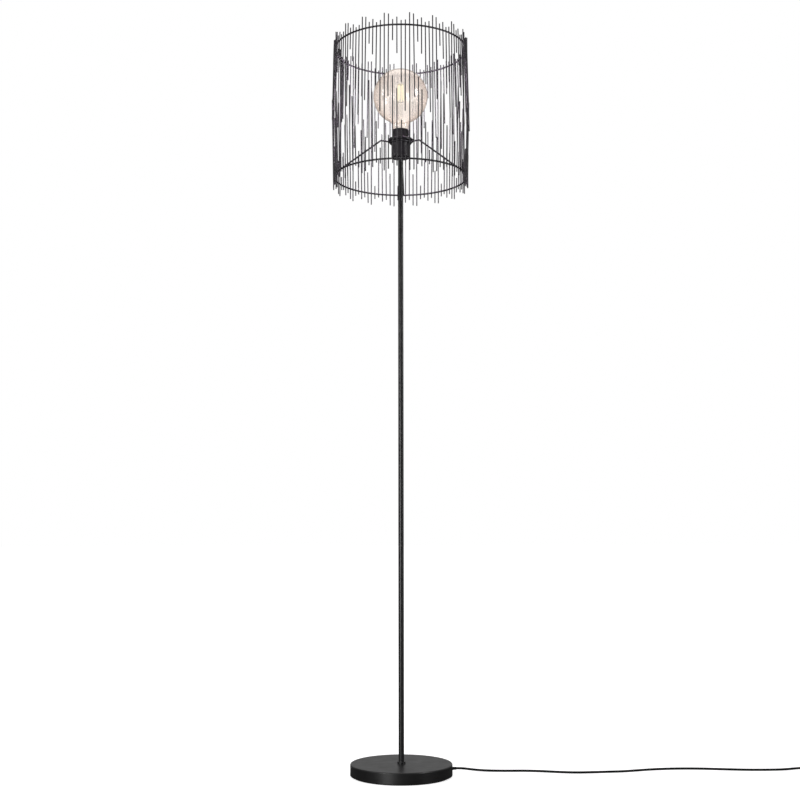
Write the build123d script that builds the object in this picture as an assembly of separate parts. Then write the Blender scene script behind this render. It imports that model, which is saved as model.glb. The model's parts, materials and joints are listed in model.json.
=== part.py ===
from build123d import *

import os
from math import cos, pi, radians, sin, sqrt, tan
from random import Random

# A floor lamp with a shade of straight wires. Millimetres, +Z up, the floor at z = 0 and the pole's
# axis at x = y = 0. -Y is the front, and the cord leaves the base on the right, +X.

# ---- clearances ----
SEAT_GAP = 0.05  # between a stud or sleeve and its bore
RUNNING_GAP = 0.3  # between the button and its hole
WELD_BITE = 0.3  # how far welded wires sink into each other
CONTACT_GAP = 0.1  # between electrical contacts that press when in use
CORE_GAP = 0.3  # between the lampholder's core and its sleeves
CUT = 1.0  # how far a cutting body reaches past the face that it cuts

# ---- base ----
BASE_RADIUS = 111.0
BASE_HEIGHT = 26.5
COVER_WALL = 1.5
COVER_EDGE_RADIUS = 2.2
PAD_THICKNESS = 2.5
PAD_INSET = 5.0
PLATE_THICKNESS = 1.5
WEIGHT_THICKNESS = 13.0
WEIGHT_BOSS_RADIUS = 6.0
WEIGHT_BOSS_CIRCLE = 80.0
WEIGHT_BOSS_START = 60.0  # degrees from +X to the first boss
RECESS_RADIUS = 24.0
RECESS_DEPTH = 5.0
BASE_SCREWS = 3
BASE_SCREW_RADIUS = 2.0
BASE_SCREW_HEAD_RADIUS = 4.0
BASE_SCREW_LENGTH = 9.0
WASHER_RADIUS = 18.0
WASHER_THICKNESS = 1.5
NUT_ACROSS_FLATS = 14.0
NUT_HEIGHT = 4.0

# ---- studs and pole ----
STUD_RADIUS = 4.95
STUD_BORE = 3.5
STUD_GRIP = 15.0  # length of a stud inside a tube's end
STUD_FOOT = 0.5  # length of the base stud that shows under its nut
STUD_HEAD = 1.5  # length of the holder stud that shows above the holder's floor
COLLAR_RADIUS = 9.0
COLLAR_HEIGHT = 4.0
COLLAR_EDGE_RADIUS = 1.2
POLE_RADIUS = 6.0
SECTION_LENGTH = 448.0
SECTIONS = 3

# ---- lampholder ----
HOLDER_RADIUS = 21.0
HOLDER_HEIGHT = 34.0
HOLDER_FLOOR = 4.0
HOLDER_EDGE_RADIUS = 1.5
HOLDER_LEDGE = 1.5  # width of the ledge that carries the core
SKIRT_RADIUS = 18.95
SKIRT_WALL = 1.7
SKIRT_RISE = 31.5  # how far the skirt stands above the holder's cap
SKIRT_DEPTH = 12.5  # how far it reaches down inside the cap
CORE_FLANGE = 2.0
CORE_HEIGHT = 16.0
CORE_TOP_ABOVE_FLANGE = 6.0
SHELL_INNER_RADIUS = 13.4
SHELL_WALL = 0.4
SHELL_HEIGHT = 26.0
SHELL_FOOT_HOLE = 7.0
TONGUE_HEIGHT = 3.0
TONGUE_RADIUS = 4.0
TONGUE_BASE = 0.8
TERMINAL_SIZE = 6.0
TERMINAL_OFFSET = 10.0
TERMINAL_SCREW_RADIUS = 1.4
TERMINAL_HEAD_RADIUS = 2.4
TERMINAL_HEAD_HEIGHT = 1.6
SHADE_RING_RADIUS = 29.0
SHADE_RING_HEIGHT = 7.5
SHADE_RING_FOOT_RADIUS = 24.5
SHADE_RING_TAPER = 2.5
SHADE_RING_LIP = 2.2
SHADE_RING_FLOOR = 0.5  # above the taper
SHADE_RING_BEVEL = 0.8
SHADE_RING_SLOPE = 1.0

# ---- shade ----
RING_RADIUS = 150.0
RING_WIRE = 4.0
RING_SPACING = 300.0
RING_DROP = 79.9  # from the spider's arms down to the bottom ring
CAGE_WIRE = 2.5
# degrees to the right of the front, where each full-height wire is welded
FULL_WIRE_ANGLES = [
    7.5, 27.5, 48.0, 67.2, 86.3, 105.4, 124.5, 144.1, 165.3,
    185.9, 207.2, 227.3, 247.2, 267.1, 287.0, 306.9, 326.7, 346.6,
]
LAST_LEAN = 1.2  # degrees that a free end leans outwards
SIDE_LEAN = 0.45  # most degrees that a free wire leans sideways
LENGTH_SCATTER = 2.5
FREE_GAP = 82.0  # between an upper wire's end and the lower wire under it
FULL_OVERHANG = 26.5
# place in the module: (overhang past the rings, drop of the upper wire below the top ring)
PLACES = {"b": (23.8, 165.0), "c": (11.5, 38.0), "d": (17.0, 66.0), "e": (8.0, 134.0), "f": (11.0, 196.0)}
HUB_RADIUS = 25.0
HUB_THICKNESS = 2.0
ARM_WIRE = 3.8
ARM_BELOW_HUB = 1.9  # from the hub's top face down to the arms' axes
ARM_BEND_AT = 50.0  # distance from the axis
ARM_BEND_RADIUS = 6.0
ARM_ANGLES = (87.2, 207.2, 327.2)

# ---- bulb ----
BULB_LENGTH = 177.0
CAP_RIM_ABOVE_PIP = 27.0
NECK_LENGTH = 25.0  # from the cap's rim up to the globe's lowest point, well clear of the skirt
GLOBE_RADIUS = (BULB_LENGTH - CAP_RIM_ABOVE_PIP - NECK_LENGTH) / 2
GLASS_WALL = 1.0
NECK_RADIUS = 19.2
NECK_HEIGHT = 14.0  # from the cap's rim up to the neck's full width
NECK_FILLET = 16.0
CAP_RADIUS = 13.1
CAP_WALL = 0.4
CAP_LENGTH = 22.0
CAP_SHOULDER = 2.0
INSULATOR_RADIUS = 10.5
INSULATOR_BEVEL = 1.0
INSULATOR_RIM = 0.5
PIP_RADIUS = 4.8
PIP_HEIGHT = 1.5
STEM_RADIUS = 5.0
STEM_FLARE = 12.0  # height of its flared foot
STEM_TIP = 6.0  # length of its thin tip
STEM_TIP_RADIUS = 3.5
STEM_TOP = 74.0  # above the cap's rim
LED_COUNT = 6
LED_RADIUS = 1.0
LED_LENGTH = 38.0
LED_CIRCLE_LOW = 8.0
LED_CIRCLE_HIGH = 5.5
LED_ABOVE_STEM = 3.0
LED_START = 15.0  # degrees from +X to the first stick
CROWN_THICKNESS = 0.5
SUPPORT_RADIUS = 0.4
SUPPORT_INSET = 2.0
BOARD_RADIUS = 9.0
BOARD_THICKNESS = 1.2
BOARD_PART_RADIUS = 4.0
BOARD_PART_TOP = 11.0
BOARD_PART_OFFSET = 2.5

# ---- cord ----
CORD = 5.0
LEAD = 4.0
LEAD_FALL_FROM = 60.0  # distance from the axis
LEAD_FALL_TO = 25.0
LEAD_ABOVE_PLATE = 0.5
LEAD_BEND = 60.0
LEAD_TURN = 6.5
CORE_WIRE = 1.8
CORE_SPREAD = 1.0
CORE_RISE = 2.5
CORE_BEND = 1.6
GLAND_ANGLE = 17.0  # degrees behind +X
GLAND_HEIGHT = 9.0
GLAND_FLANGE = 4.8
GLAND_NECK = 4.0
GLAND_TIP = 3.1
GLAND_SLEEVE = 3.8
GLAND_OUT = 16.0
GLAND_IN = 11.5
GLAND_SEAT = 0.2  # between the flanges and the cover's wall
GLAND_FLANGE_INSIDE = 2.0
GLAND_FLANGE_OUTSIDE = 1.4
COIL_INNER = 21.0
COIL_PITCH = 6.7
COIL_LAYER = 5.6
COIL_TURNS_IN = 2.5

# ---- foot switch ----
SWITCH_LENGTH = 78.0
SWITCH_WIDTH = 36.0
SWITCH_SPLIT = 11.0
SWITCH_HEIGHT = 24.0
SWITCH_WALL = 2.0
SWITCH_CORNER = 14.0
SWITCH_EDGE = 3.0
SWITCH_POST_RADIUS = 3.2
BUTTON_RADIUS = 10.0
BUTTON_STANDS = 3.5
BUTTON_TRAVEL = 3.0
BUTTON_FLANGE = 1.6
BUTTON_FLANGE_REACH = 1.4
BUTTON_EDGE = 1.5
BUTTON_STEM_RADIUS = 3.0
BUTTON_SEAT = 0.1  # between the flange and the roof over it
BRIDGE_LENGTH = 30.0
BRIDGE_WIDTH = 4.0
BRIDGE_THICKNESS = 0.6
BRIDGE_ABOVE_SPLIT = 2.5
SWITCH_CONTACT_OFFSET = 12.0
SWITCH_CONTACT_LENGTH = 5.0
SPRING_RADIUS = 3.6
SPRING_WIRE = 0.6
SPRING_PITCH = 2.2
SWITCH_SCREW_RADIUS = 1.4
SWITCH_SCREW_FROM_END = 12.0
SWITCH_SCREW_FROM_SIDE = 7.0
SWITCH_SCREW_BITE = 5.0
SWITCH_SCREW_SUNK = 0.5
RELIEF_LENGTH = 22.0
RELIEF_ROOT = 4.2
RELIEF_TIP = 3.1
RELIEF_HEIGHT = 5.6
RELIEF_FLANGE_RADIUS = 3.2
RELIEF_FLANGE = 2.0

# ---- plug ----
PLUG_LENGTH = 36.0
PLUG_WIDTH = 35.3
PLUG_BACK_WIDTH = 16.0
PLUG_THICKNESS = 13.7
PLUG_EDGE = 1.0
PLUG_SHOULDER = 12.0
PLUG_CORNER = 3.0
PIN_RADIUS = 2.0
PIN_LENGTH = 19.0
PIN_SPACING = 19.0
PIN_SEAT = 8.0

# ---- heights that follow ----
COVER_FOOT = PAD_THICKNESS
PLATE_TOP = COVER_FOOT + PLATE_THICKNESS
WEIGHT_TOP = BASE_HEIGHT - COVER_WALL
WEIGHT_FOOT = WEIGHT_TOP - WEIGHT_THICKNESS
RECESS_TOP = WEIGHT_FOOT + RECESS_DEPTH
NUT_FOOT = RECESS_TOP - WASHER_THICKNESS - NUT_HEIGHT
POLE_FOOT = BASE_HEIGHT + COLLAR_HEIGHT
POLE_TOP = POLE_FOOT + SECTIONS * SECTION_LENGTH
HOLDER_TOP = POLE_TOP + HOLDER_HEIGHT
HUB_TOP = HOLDER_TOP + HUB_THICKNESS
SKIRT_TOP = HOLDER_TOP + SKIRT_RISE
SKIRT_FOOT = HOLDER_TOP - SKIRT_DEPTH
CORE_FLANGE_FOOT = SKIRT_FOOT - CORE_FLANGE
CORE_TOP = SKIRT_FOOT + CORE_TOP_ABOVE_FLANGE
CORE_FOOT = CORE_TOP - CORE_HEIGHT
STUD_END = POLE_TOP + HOLDER_FLOOR + STUD_HEAD
ARM_LEVEL = HUB_TOP - ARM_BELOW_HUB
BOTTOM_RING = ARM_LEVEL - RING_DROP
TOP_RING = BOTTOM_RING + RING_SPACING
WIRE_CIRCLE = RING_RADIUS + (RING_WIRE + CAGE_WIRE) / 2 - WELD_BITE
PIP_FOOT = CORE_TOP + TONGUE_HEIGHT + CONTACT_GAP
CAP_RIM = PIP_FOOT + CAP_RIM_ABOVE_PIP
GLOBE_CENTRE = PIP_FOOT + BULB_LENGTH - GLOBE_RADIUS


def save(name, *solids):
    """Write one node, a solid or a group of separate solids."""
    shapes = [s for solid in solids for s in solid.solids()]
    export_step(shapes[0] if len(shapes) == 1 else Compound(shapes), f"parts/{name}.step")


def turned(*outline):
    """A solid of revolution about the lamp's axis, from (radius, height) corners."""
    return revolve(make_face(Polyline(*[(r, 0, z) for r, z in outline], close=True)), Axis.Z)


def sleeve(outer, inner, low, high):
    """A round sleeve about the lamp's axis."""
    return turned((inner, low), (outer, low), (outer, high), (inner, high))


def disc(radius, low, high, x=0.0, y=0.0):
    """An upright cylinder between two heights."""
    return Solid.make_cylinder(radius, high - low, Plane(origin=(x, y, low), z_dir=(0, 0, 1)))


def rod(start, end, radius):
    """A round rod between two points."""
    run = Vector(*end) - Vector(*start)
    return Solid.make_cylinder(radius, run.length, Plane(origin=start, z_dir=run))


def around(radius, degrees, z):
    """A point at a distance from the axis; angles run from +X towards +Y."""
    return (radius * cos(radians(degrees)), radius * sin(radians(degrees)), z)


def tube(name, route, diameter, radii=None):
    """A tube along straight runs joined by tangent arcs, as large as their runs allow."""
    points = [Vector(*p) for p in route]
    runs = [b - a for a, b in zip(points, points[1:])]
    if radii is None:
        radii = [
            0.45 * min(a.length, b.length) / tan(radians(a.get_angle(b) / 2))
            for a, b in zip(runs, runs[1:])
        ]
    path = FilletPolyline(*points, radius=radii)
    solid = sweep(Plane(origin=path @ 0, z_dir=path % 0) * Circle(diameter / 2), path=path)
    straight = pi * (diameter / 2) ** 2 * path.length
    print(f"{name}: {path.length:.0f} mm, volume {solid.volume / straight:.4f} of section x length,")
    print(f"  radii {min(radii):.0f} to {max(radii):.0f} mm, runs "
          f"{min(r.length for r in runs):.0f} to {max(r.length for r in runs):.0f} mm")
    return solid


# ---- base ----
def boss_places():
    return [around(WEIGHT_BOSS_CIRCLE, WEIGHT_BOSS_START + 360 / BASE_SCREWS * k, 0) for k in range(BASE_SCREWS)]


def gland_bar(radius, start, end):
    """A round bar on the gland's axis, between two distances from the lamp's axis."""
    return rod(around(start, GLAND_ANGLE, GLAND_HEIGHT), around(end, GLAND_ANGLE, GLAND_HEIGHT), radius)


def base_screw(x, y, gap=0.0):
    """A countersunk screw, its head flush with the plate; the gap makes its hole."""
    head = Solid.make_cone(
        BASE_SCREW_HEAD_RADIUS + gap,
        BASE_SCREW_RADIUS + gap,
        PLATE_THICKNESS,
        Plane(origin=(x, y, COVER_FOOT), z_dir=(0, 0, 1)),
    )
    return head + disc(BASE_SCREW_RADIUS + gap, COVER_FOOT, COVER_FOOT + BASE_SCREW_LENGTH + gap, x, y)


def base():
    inside = BASE_RADIUS - COVER_WALL
    stud_hole = STUD_RADIUS + SEAT_GAP
    body = sleeve(BASE_RADIUS, stud_hole, COVER_FOOT, BASE_HEIGHT)
    rim = body.edges().filter_by(GeomType.CIRCLE).group_by(Axis.Z)[-1].sort_by(SortBy.RADIUS)[-1]
    cover = fillet(rim, COVER_EDGE_RADIUS) - disc(inside, COVER_FOOT - CUT, WEIGHT_TOP)
    cover -= gland_bar(GLAND_NECK + SEAT_GAP, inside - CUT, BASE_RADIUS + CUT)
    save("base_cover", cover)

    weight = disc(inside - SEAT_GAP * 4, WEIGHT_FOOT, WEIGHT_TOP)
    for x, y, _ in boss_places():
        weight += disc(WEIGHT_BOSS_RADIUS, PLATE_TOP, WEIGHT_FOOT + CUT, x, y)
        weight -= base_screw(x, y, SEAT_GAP)
    weight -= disc(RECESS_RADIUS, WEIGHT_FOOT - CUT, RECESS_TOP)
    weight -= disc(stud_hole, WEIGHT_FOOT - CUT, WEIGHT_TOP + CUT)
    weight -= gland_bar(GLAND_FLANGE + CUT, inside - GLAND_IN - CUT, BASE_RADIUS)
    save("base_weight", weight)

    plate = disc(inside - SEAT_GAP, COVER_FOOT, PLATE_TOP)
    for x, y, _ in boss_places():
        plate -= base_screw(x, y, SEAT_GAP)
    save("base_plate", plate)
    save("base_screws", *[base_screw(x, y) for x, y, _ in boss_places()])
    save("base_pad", disc(BASE_RADIUS - PAD_INSET, 0, PAD_THICKNESS))

    washer_foot = RECESS_TOP - WASHER_THICKNESS
    save("base_washer", sleeve(WASHER_RADIUS, stud_hole, washer_foot, RECESS_TOP))
    hexagon = RegularPolygon(NUT_ACROSS_FLATS / 2, 6, major_radius=False) - Circle(stud_hole)
    save("base_nut", Pos(0, 0, NUT_FOOT) * extrude(hexagon, NUT_HEIGHT))
    save("base_stud", sleeve(STUD_RADIUS, STUD_BORE, NUT_FOOT - STUD_FOOT, POLE_FOOT + STUD_GRIP))

    collar = sleeve(COLLAR_RADIUS, stud_hole, BASE_HEIGHT, POLE_FOOT)
    edge = collar.edges().filter_by(GeomType.CIRCLE).group_by(Axis.Z)[-1].sort_by(SortBy.RADIUS)[-1]
    save("pole_collar", fillet(edge, COLLAR_EDGE_RADIUS))
    gland()


def gland():
    """The rubber strain relief: a flange each side of the wall and a tapered sleeve outside."""
    inside = BASE_RADIUS - COVER_WALL
    seat_in = inside - GLAND_SEAT
    seat_out = BASE_RADIUS + GLAND_SEAT
    outline = [
        (inside - GLAND_IN, 0),
        (inside - GLAND_IN, GLAND_TIP),
        (seat_in - GLAND_FLANGE_INSIDE, GLAND_SLEEVE),
        (seat_in - GLAND_FLANGE_INSIDE, GLAND_FLANGE),
        (seat_in, GLAND_FLANGE),
        (seat_in, GLAND_NECK),
        (seat_out, GLAND_NECK),
        (seat_out, GLAND_FLANGE),
        (seat_out + GLAND_FLANGE_OUTSIDE, GLAND_FLANGE),
        (seat_out + GLAND_FLANGE_OUTSIDE, GLAND_SLEEVE),
        (BASE_RADIUS + GLAND_OUT, GLAND_TIP),
        (BASE_RADIUS + GLAND_OUT, 0),
    ]
    face = make_face(Polyline(*[(x, 0, r) for x, r in outline], close=True))
    body = revolve(face, Axis.X)
    save("cord_gland", Rot(0, 0, GLAND_ANGLE) * Pos(0, 0, GLAND_HEIGHT) * body)


# ---- pole ----
def pole():
    bore = STUD_RADIUS + SEAT_GAP
    for k, place in enumerate(("lower", "middle", "upper")[:SECTIONS]):
        foot = POLE_FOOT + k * SECTION_LENGTH
        save(f"pole_{place}", sleeve(POLE_RADIUS, bore, foot, foot + SECTION_LENGTH))
    seams = [POLE_FOOT + k * SECTION_LENGTH for k in range(1, SECTIONS)]
    save("pole_studs", *[sleeve(STUD_RADIUS, STUD_BORE, z - STUD_GRIP, z + STUD_GRIP) for z in seams])
    save("holder_stud", sleeve(STUD_RADIUS, STUD_BORE, POLE_TOP - STUD_GRIP, STUD_END))


def inner_lead():
    """The lead from the gland, under the weight and up inside the pole, and its two cores."""
    low = PLATE_TOP + LEAD / 2 + LEAD_ABOVE_PLATE
    route = [
        around(BASE_RADIUS - COVER_WALL - GLAND_IN, GLAND_ANGLE, GLAND_HEIGHT),
        around(LEAD_FALL_FROM, GLAND_ANGLE, GLAND_HEIGHT),
        around(LEAD_FALL_TO, GLAND_ANGLE, low),
        (0, 0, low),
        (0, 0, STUD_END),
    ]
    pieces = [tube("inner_lead", route, LEAD, radii=[LEAD_BEND, LEAD_BEND, LEAD_TURN])]
    for side in (-1, 1):
        route = [
            (side * CORE_SPREAD, 0, STUD_END),
            (side * CORE_SPREAD, 0, STUD_END + CORE_RISE),
            (side * (TERMINAL_OFFSET - TERMINAL_SIZE / 2), 0, STUD_END + CORE_RISE),
        ]
        pieces.append(tube("core_wire", route, CORE_WIRE, radii=[CORE_BEND]))
    save("inner_lead", *pieces)


# ---- lampholder ----
def lampholder():
    skirt_bore = SKIRT_RADIUS + SEAT_GAP
    narrow = skirt_bore - HOLDER_LEDGE
    cap = turned(
        (STUD_RADIUS + SEAT_GAP, POLE_TOP),
        (HOLDER_RADIUS, POLE_TOP),
        (HOLDER_RADIUS, HOLDER_TOP),
        (skirt_bore, HOLDER_TOP),
        (skirt_bore, CORE_FLANGE_FOOT),
        (narrow, CORE_FLANGE_FOOT),
        (narrow, POLE_TOP + HOLDER_FLOOR),
        (STUD_RADIUS + SEAT_GAP, POLE_TOP + HOLDER_FLOOR),
    )
    rim = cap.edges().filter_by(GeomType.CIRCLE).group_by(Axis.Z)[0].sort_by(SortBy.RADIUS)[-1]
    save("holder_cap", fillet(rim, HOLDER_EDGE_RADIUS))
    skirt_inside = SKIRT_RADIUS - SKIRT_WALL
    save("holder_skirt", sleeve(SKIRT_RADIUS, skirt_inside, SKIRT_FOOT, SKIRT_TOP))
    core = disc(narrow - CORE_GAP, CORE_FOOT, CORE_FLANGE_FOOT)
    core += disc(SKIRT_RADIUS, CORE_FLANGE_FOOT, SKIRT_FOOT)
    core += disc(skirt_inside - CORE_GAP, SKIRT_FOOT, CORE_TOP)
    save("holder_core", core)
    shell_radius = SHELL_INNER_RADIUS + SHELL_WALL
    shell = sleeve(shell_radius, SHELL_INNER_RADIUS, CORE_TOP, CORE_TOP + SHELL_HEIGHT)
    foot = sleeve(shell_radius, SHELL_FOOT_HOLE, CORE_TOP, CORE_TOP + SHELL_WALL)
    save("holder_shell", shell + foot)
    tongue_base = disc(TONGUE_RADIUS, CORE_TOP, CORE_TOP + TONGUE_BASE)
    save("holder_contact", tongue_base + disc(TONGUE_RADIUS / 2, CORE_TOP, CORE_TOP + TONGUE_HEIGHT))

    terminals, screws = [], []
    for side in (-1, 1):
        x = side * TERMINAL_OFFSET
        z = CORE_FOOT - TERMINAL_SIZE / 2
        y = -TERMINAL_SIZE / 2
        terminals.append(Pos(x, 0, z) * Box(TERMINAL_SIZE, TERMINAL_SIZE, TERMINAL_SIZE)
                         - rod((x, y - CUT, z), (x, CUT, z), TERMINAL_SCREW_RADIUS + SEAT_GAP))
        screws.append(rod((x, y - TERMINAL_HEAD_HEIGHT, z), (x, y, z), TERMINAL_HEAD_RADIUS)
                      + rod((x, y, z), (x, CUT, z), TERMINAL_SCREW_RADIUS))
    save("terminals", *terminals, *screws)

    ring_top = HUB_TOP + SHADE_RING_HEIGHT
    ring_floor = HUB_TOP + SHADE_RING_TAPER + SHADE_RING_FLOOR
    lip = SHADE_RING_RADIUS - SHADE_RING_LIP
    save("shade_ring", turned(
        (skirt_bore, HUB_TOP),
        (SHADE_RING_FOOT_RADIUS, HUB_TOP),
        (SHADE_RING_RADIUS, HUB_TOP + SHADE_RING_TAPER),
        (SHADE_RING_RADIUS, ring_top - SHADE_RING_BEVEL),
        (SHADE_RING_RADIUS - SHADE_RING_BEVEL, ring_top),
        (lip, ring_top),
        (lip - SHADE_RING_SLOPE, ring_floor),
        (skirt_bore + SHADE_RING_LIP, ring_floor),
        (skirt_bore + SHADE_RING_LIP, ring_top - SHADE_RING_SLOPE),
        (skirt_bore, ring_top - SHADE_RING_SLOPE),
    ))


# ---- shade ----
def spider():
    save("shade_hub", sleeve(HUB_RADIUS, SKIRT_RADIUS + SEAT_GAP, HOLDER_TOP, HUB_TOP))
    arms = []
    for angle in ARM_ANGLES:
        bend = Vector(*around(ARM_BEND_AT, angle, ARM_LEVEL))
        weld = Vector(*around(RING_RADIUS, angle, BOTTOM_RING))
        fall = (weld - bend).normalized()
        start = Vector(*around(HUB_RADIUS - 2 * WELD_BITE, angle, ARM_LEVEL))
        end = weld - fall * ((RING_WIRE - WELD_BITE) / 2)
        path = FilletPolyline(start, bend, end, radius=ARM_BEND_RADIUS)
        arms.append(sweep(Plane(origin=path @ 0, z_dir=path % 0) * Circle(ARM_WIRE / 2), path=path))
    save("shade_arms", *arms)


def cage_wire(angle, ring, free_end, overhang, lean, side):
    """A wire welded outside a ring; its free end leans out and a little sideways."""
    away = 1 if free_end > ring else -1
    a = radians(angle)
    outward = Vector(sin(a), -cos(a), 0)
    sideways = Vector(cos(a), sin(a), 0)
    slope = outward * tan(radians(lean)) + sideways * tan(radians(side)) + Vector(0, 0, away)
    weld = outward * WIRE_CIRCLE + Vector(0, 0, ring)
    return rod(weld - slope * overhang, weld + slope * abs(free_end - ring), CAGE_WIRE / 2)


def cage():
    for name, z in (("ring_top", TOP_RING), ("ring_bottom", BOTTOM_RING)):
        save(name, Solid.make_torus(RING_RADIUS, RING_WIRE / 2, Plane(origin=(0, 0, z), z_dir=(0, 0, 1))))
    modules = list(zip(FULL_WIRE_ANGLES, FULL_WIRE_ANGLES[1:] + [FULL_WIRE_ANGLES[0] + 360]))
    save("wires_full", *[
        cage_wire(angle, BOTTOM_RING, TOP_RING + FULL_OVERHANG, FULL_OVERHANG, 0, 0)
        for angle in FULL_WIRE_ANGLES
    ])
    chance = Random(5)
    for place, (letter, (overhang, drop)) in enumerate(PLACES.items(), start=1):
        upper, lower = [], []
        rise = RING_SPACING - drop - FREE_GAP
        for here, after in modules:
            angle = here + (after - here) * place / (len(PLACES) + 1)
            for wires, ring, reach in ((upper, TOP_RING, -drop), (lower, BOTTOM_RING, rise)):
                end = ring + reach + chance.uniform(-1, 1) * LENGTH_SCATTER
                past = overhang + chance.uniform(-1, 1) * LENGTH_SCATTER / 2
                lean = LAST_LEAN + chance.uniform(-1, 1) * SIDE_LEAN / 2
                wires.append(cage_wire(angle, ring, end, past, lean, chance.uniform(-1, 1) * SIDE_LEAN))
        save(f"wires_upper_{letter}", *upper)
        save(f"wires_lower_{letter}", *lower)


# ---- bulb ----
def globe_face(inset):
    """Half the bulb's outline: cap joint, neck, fillet and globe, all set in by the inset."""
    globe = GLOBE_RADIUS - inset
    neck = NECK_RADIUS - inset
    flare = NECK_FILLET + inset
    centre_x = neck + flare
    flare_z = GLOBE_CENTRE - sqrt((globe + flare) ** 2 - centre_x ** 2)
    share = globe / (globe + flare)
    joint = (share * centre_x, 0, GLOBE_CENTRE - share * (GLOBE_CENTRE - flare_z))
    middle = radians(180 - 35)
    flare_middle = (centre_x + flare * cos(middle), 0, flare_z + flare * sin(middle))
    foot = CAP_RADIUS - CAP_WALL - SEAT_GAP - inset
    joint_line = CAP_RIM - 3 * CAP_WALL + inset
    lines = [
        Line((0, 0, joint_line), (foot, 0, joint_line)),
        Line((foot, 0, joint_line), (foot, 0, CAP_RIM + 1)),
        Line((foot, 0, CAP_RIM + 1), (neck, 0, CAP_RIM + NECK_HEIGHT)),
        Line((neck, 0, CAP_RIM + NECK_HEIGHT), (neck, 0, flare_z)),
        ThreePointArc((neck, 0, flare_z), flare_middle, joint),
        ThreePointArc(joint, (globe, 0, GLOBE_CENTRE), (0, 0, GLOBE_CENTRE + globe)),
        Line((0, 0, GLOBE_CENTRE + globe), (0, 0, joint_line)),
    ]
    return make_face(lines)


def bulb():
    save("bulb_glass", revolve(globe_face(0), Axis.Z) - revolve(globe_face(GLASS_WALL), Axis.Z))
    cap_foot = CAP_RIM - CAP_LENGTH
    inner = CAP_RADIUS - CAP_WALL
    save("bulb_cap", turned(
        (INSULATOR_RADIUS, cap_foot),
        (CAP_RADIUS, cap_foot + CAP_SHOULDER),
        (CAP_RADIUS, CAP_RIM),
        (inner, CAP_RIM),
        (inner, cap_foot + CAP_SHOULDER + CAP_WALL),
        (INSULATOR_RADIUS, cap_foot + CAP_WALL),
    ))
    pip_top = PIP_FOOT + PIP_HEIGHT
    save("bulb_insulator", turned(
        (0, pip_top),
        (PIP_RADIUS, pip_top),
        (INSULATOR_RADIUS - INSULATOR_BEVEL, cap_foot - INSULATOR_RIM),
        (INSULATOR_RADIUS - SEAT_GAP, cap_foot),
        (INSULATOR_RADIUS - SEAT_GAP, cap_foot + CAP_SHOULDER),
        (0, cap_foot + CAP_SHOULDER),
    ))
    save("bulb_pip", disc(PIP_RADIUS - 0.4, PIP_FOOT, pip_top))

    floor = CAP_RIM - 3 * CAP_WALL + GLASS_WALL
    stem_top = CAP_RIM + STEM_TOP
    save("bulb_stem", turned(
        (0, floor),
        (2 * STEM_RADIUS, floor),
        (STEM_RADIUS, floor + STEM_FLARE),
        (STEM_TIP_RADIUS, stem_top - STEM_TIP),
        (STEM_TIP_RADIUS, stem_top),
        (0, stem_top),
    ))
    led_foot = stem_top + LED_ABOVE_STEM
    led_top = led_foot + sqrt(LED_LENGTH ** 2 - (LED_CIRCLE_LOW - LED_CIRCLE_HIGH) ** 2)
    sticks, supports = [], []
    for k in range(LED_COUNT):
        angle = LED_START + 360 / LED_COUNT * k
        low = around(LED_CIRCLE_LOW, angle, led_foot)
        high = around(LED_CIRCLE_HIGH, angle, led_top)
        sticks.append(rod(low, high, LED_RADIUS))
        root = around(STEM_RADIUS - SUPPORT_INSET, angle, stem_top - SUPPORT_RADIUS * 2.5)
        supports.append(rod(root, low, SUPPORT_RADIUS))
    crown = disc(LED_CIRCLE_HIGH + LED_RADIUS, led_top, led_top + CROWN_THICKNESS)
    mast = disc(SUPPORT_RADIUS, stem_top, led_top)
    save("bulb_filaments", *sticks)
    save("bulb_supports", crown + mast, *supports)
    board_foot = cap_foot + CAP_SHOULDER
    board_top = board_foot + BOARD_THICKNESS
    save("bulb_board", disc(BOARD_RADIUS, board_foot, board_top)
         + disc(BOARD_PART_RADIUS, board_top, board_foot + BOARD_PART_TOP, BOARD_PART_OFFSET, 0))


# ---- cord ----
GLAND_END = around(BASE_RADIUS + GLAND_OUT, GLAND_ANGLE, GLAND_HEIGHT)
ON_FLOOR = CORD / 2 + 0.05
# The way over the floor, chosen to lie as a straightened lead does.
CORD_ROUTE = [
    GLAND_END,
    (135.0, 41.0, 8.4),
    (157.0, 45.4, 4.6),
    (190.0, 43.6, ON_FLOOR),
    (232.0, 41.2, ON_FLOOR),
    (272.0, 42.6, ON_FLOOR),
    (306.0, 38.0, ON_FLOOR),
    (342.0, 27.6, ON_FLOOR),
    (376.0, 21.0, ON_FLOOR),
    (414.0, 23.4, ON_FLOOR),
    (452.0, 29.4, ON_FLOOR),
    (484.0, 33.0, ON_FLOOR),
    (514.0, 42.5, ON_FLOOR),
    (550.0, 55.5, ON_FLOOR),
    (600.0, 65.0, ON_FLOOR),
    (655.0, 66.0, ON_FLOOR),
    (712.0, 57.0, ON_FLOOR),
    (768.0, 49.0, ON_FLOOR),
    (818.0, 50.0, ON_FLOOR),
    (850.0, 54.5, ON_FLOOR),
    (872.0, 56.0, 4.4),
    (892.0, 56.0, RELIEF_HEIGHT),
]
SWITCH_X = CORD_ROUTE[-1][0] + RELIEF_LENGTH + SWITCH_LENGTH / 2
SWITCH_Y = CORD_ROUTE[-1][1]
LINK_START = SWITCH_X + SWITCH_LENGTH / 2 + RELIEF_LENGTH
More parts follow.
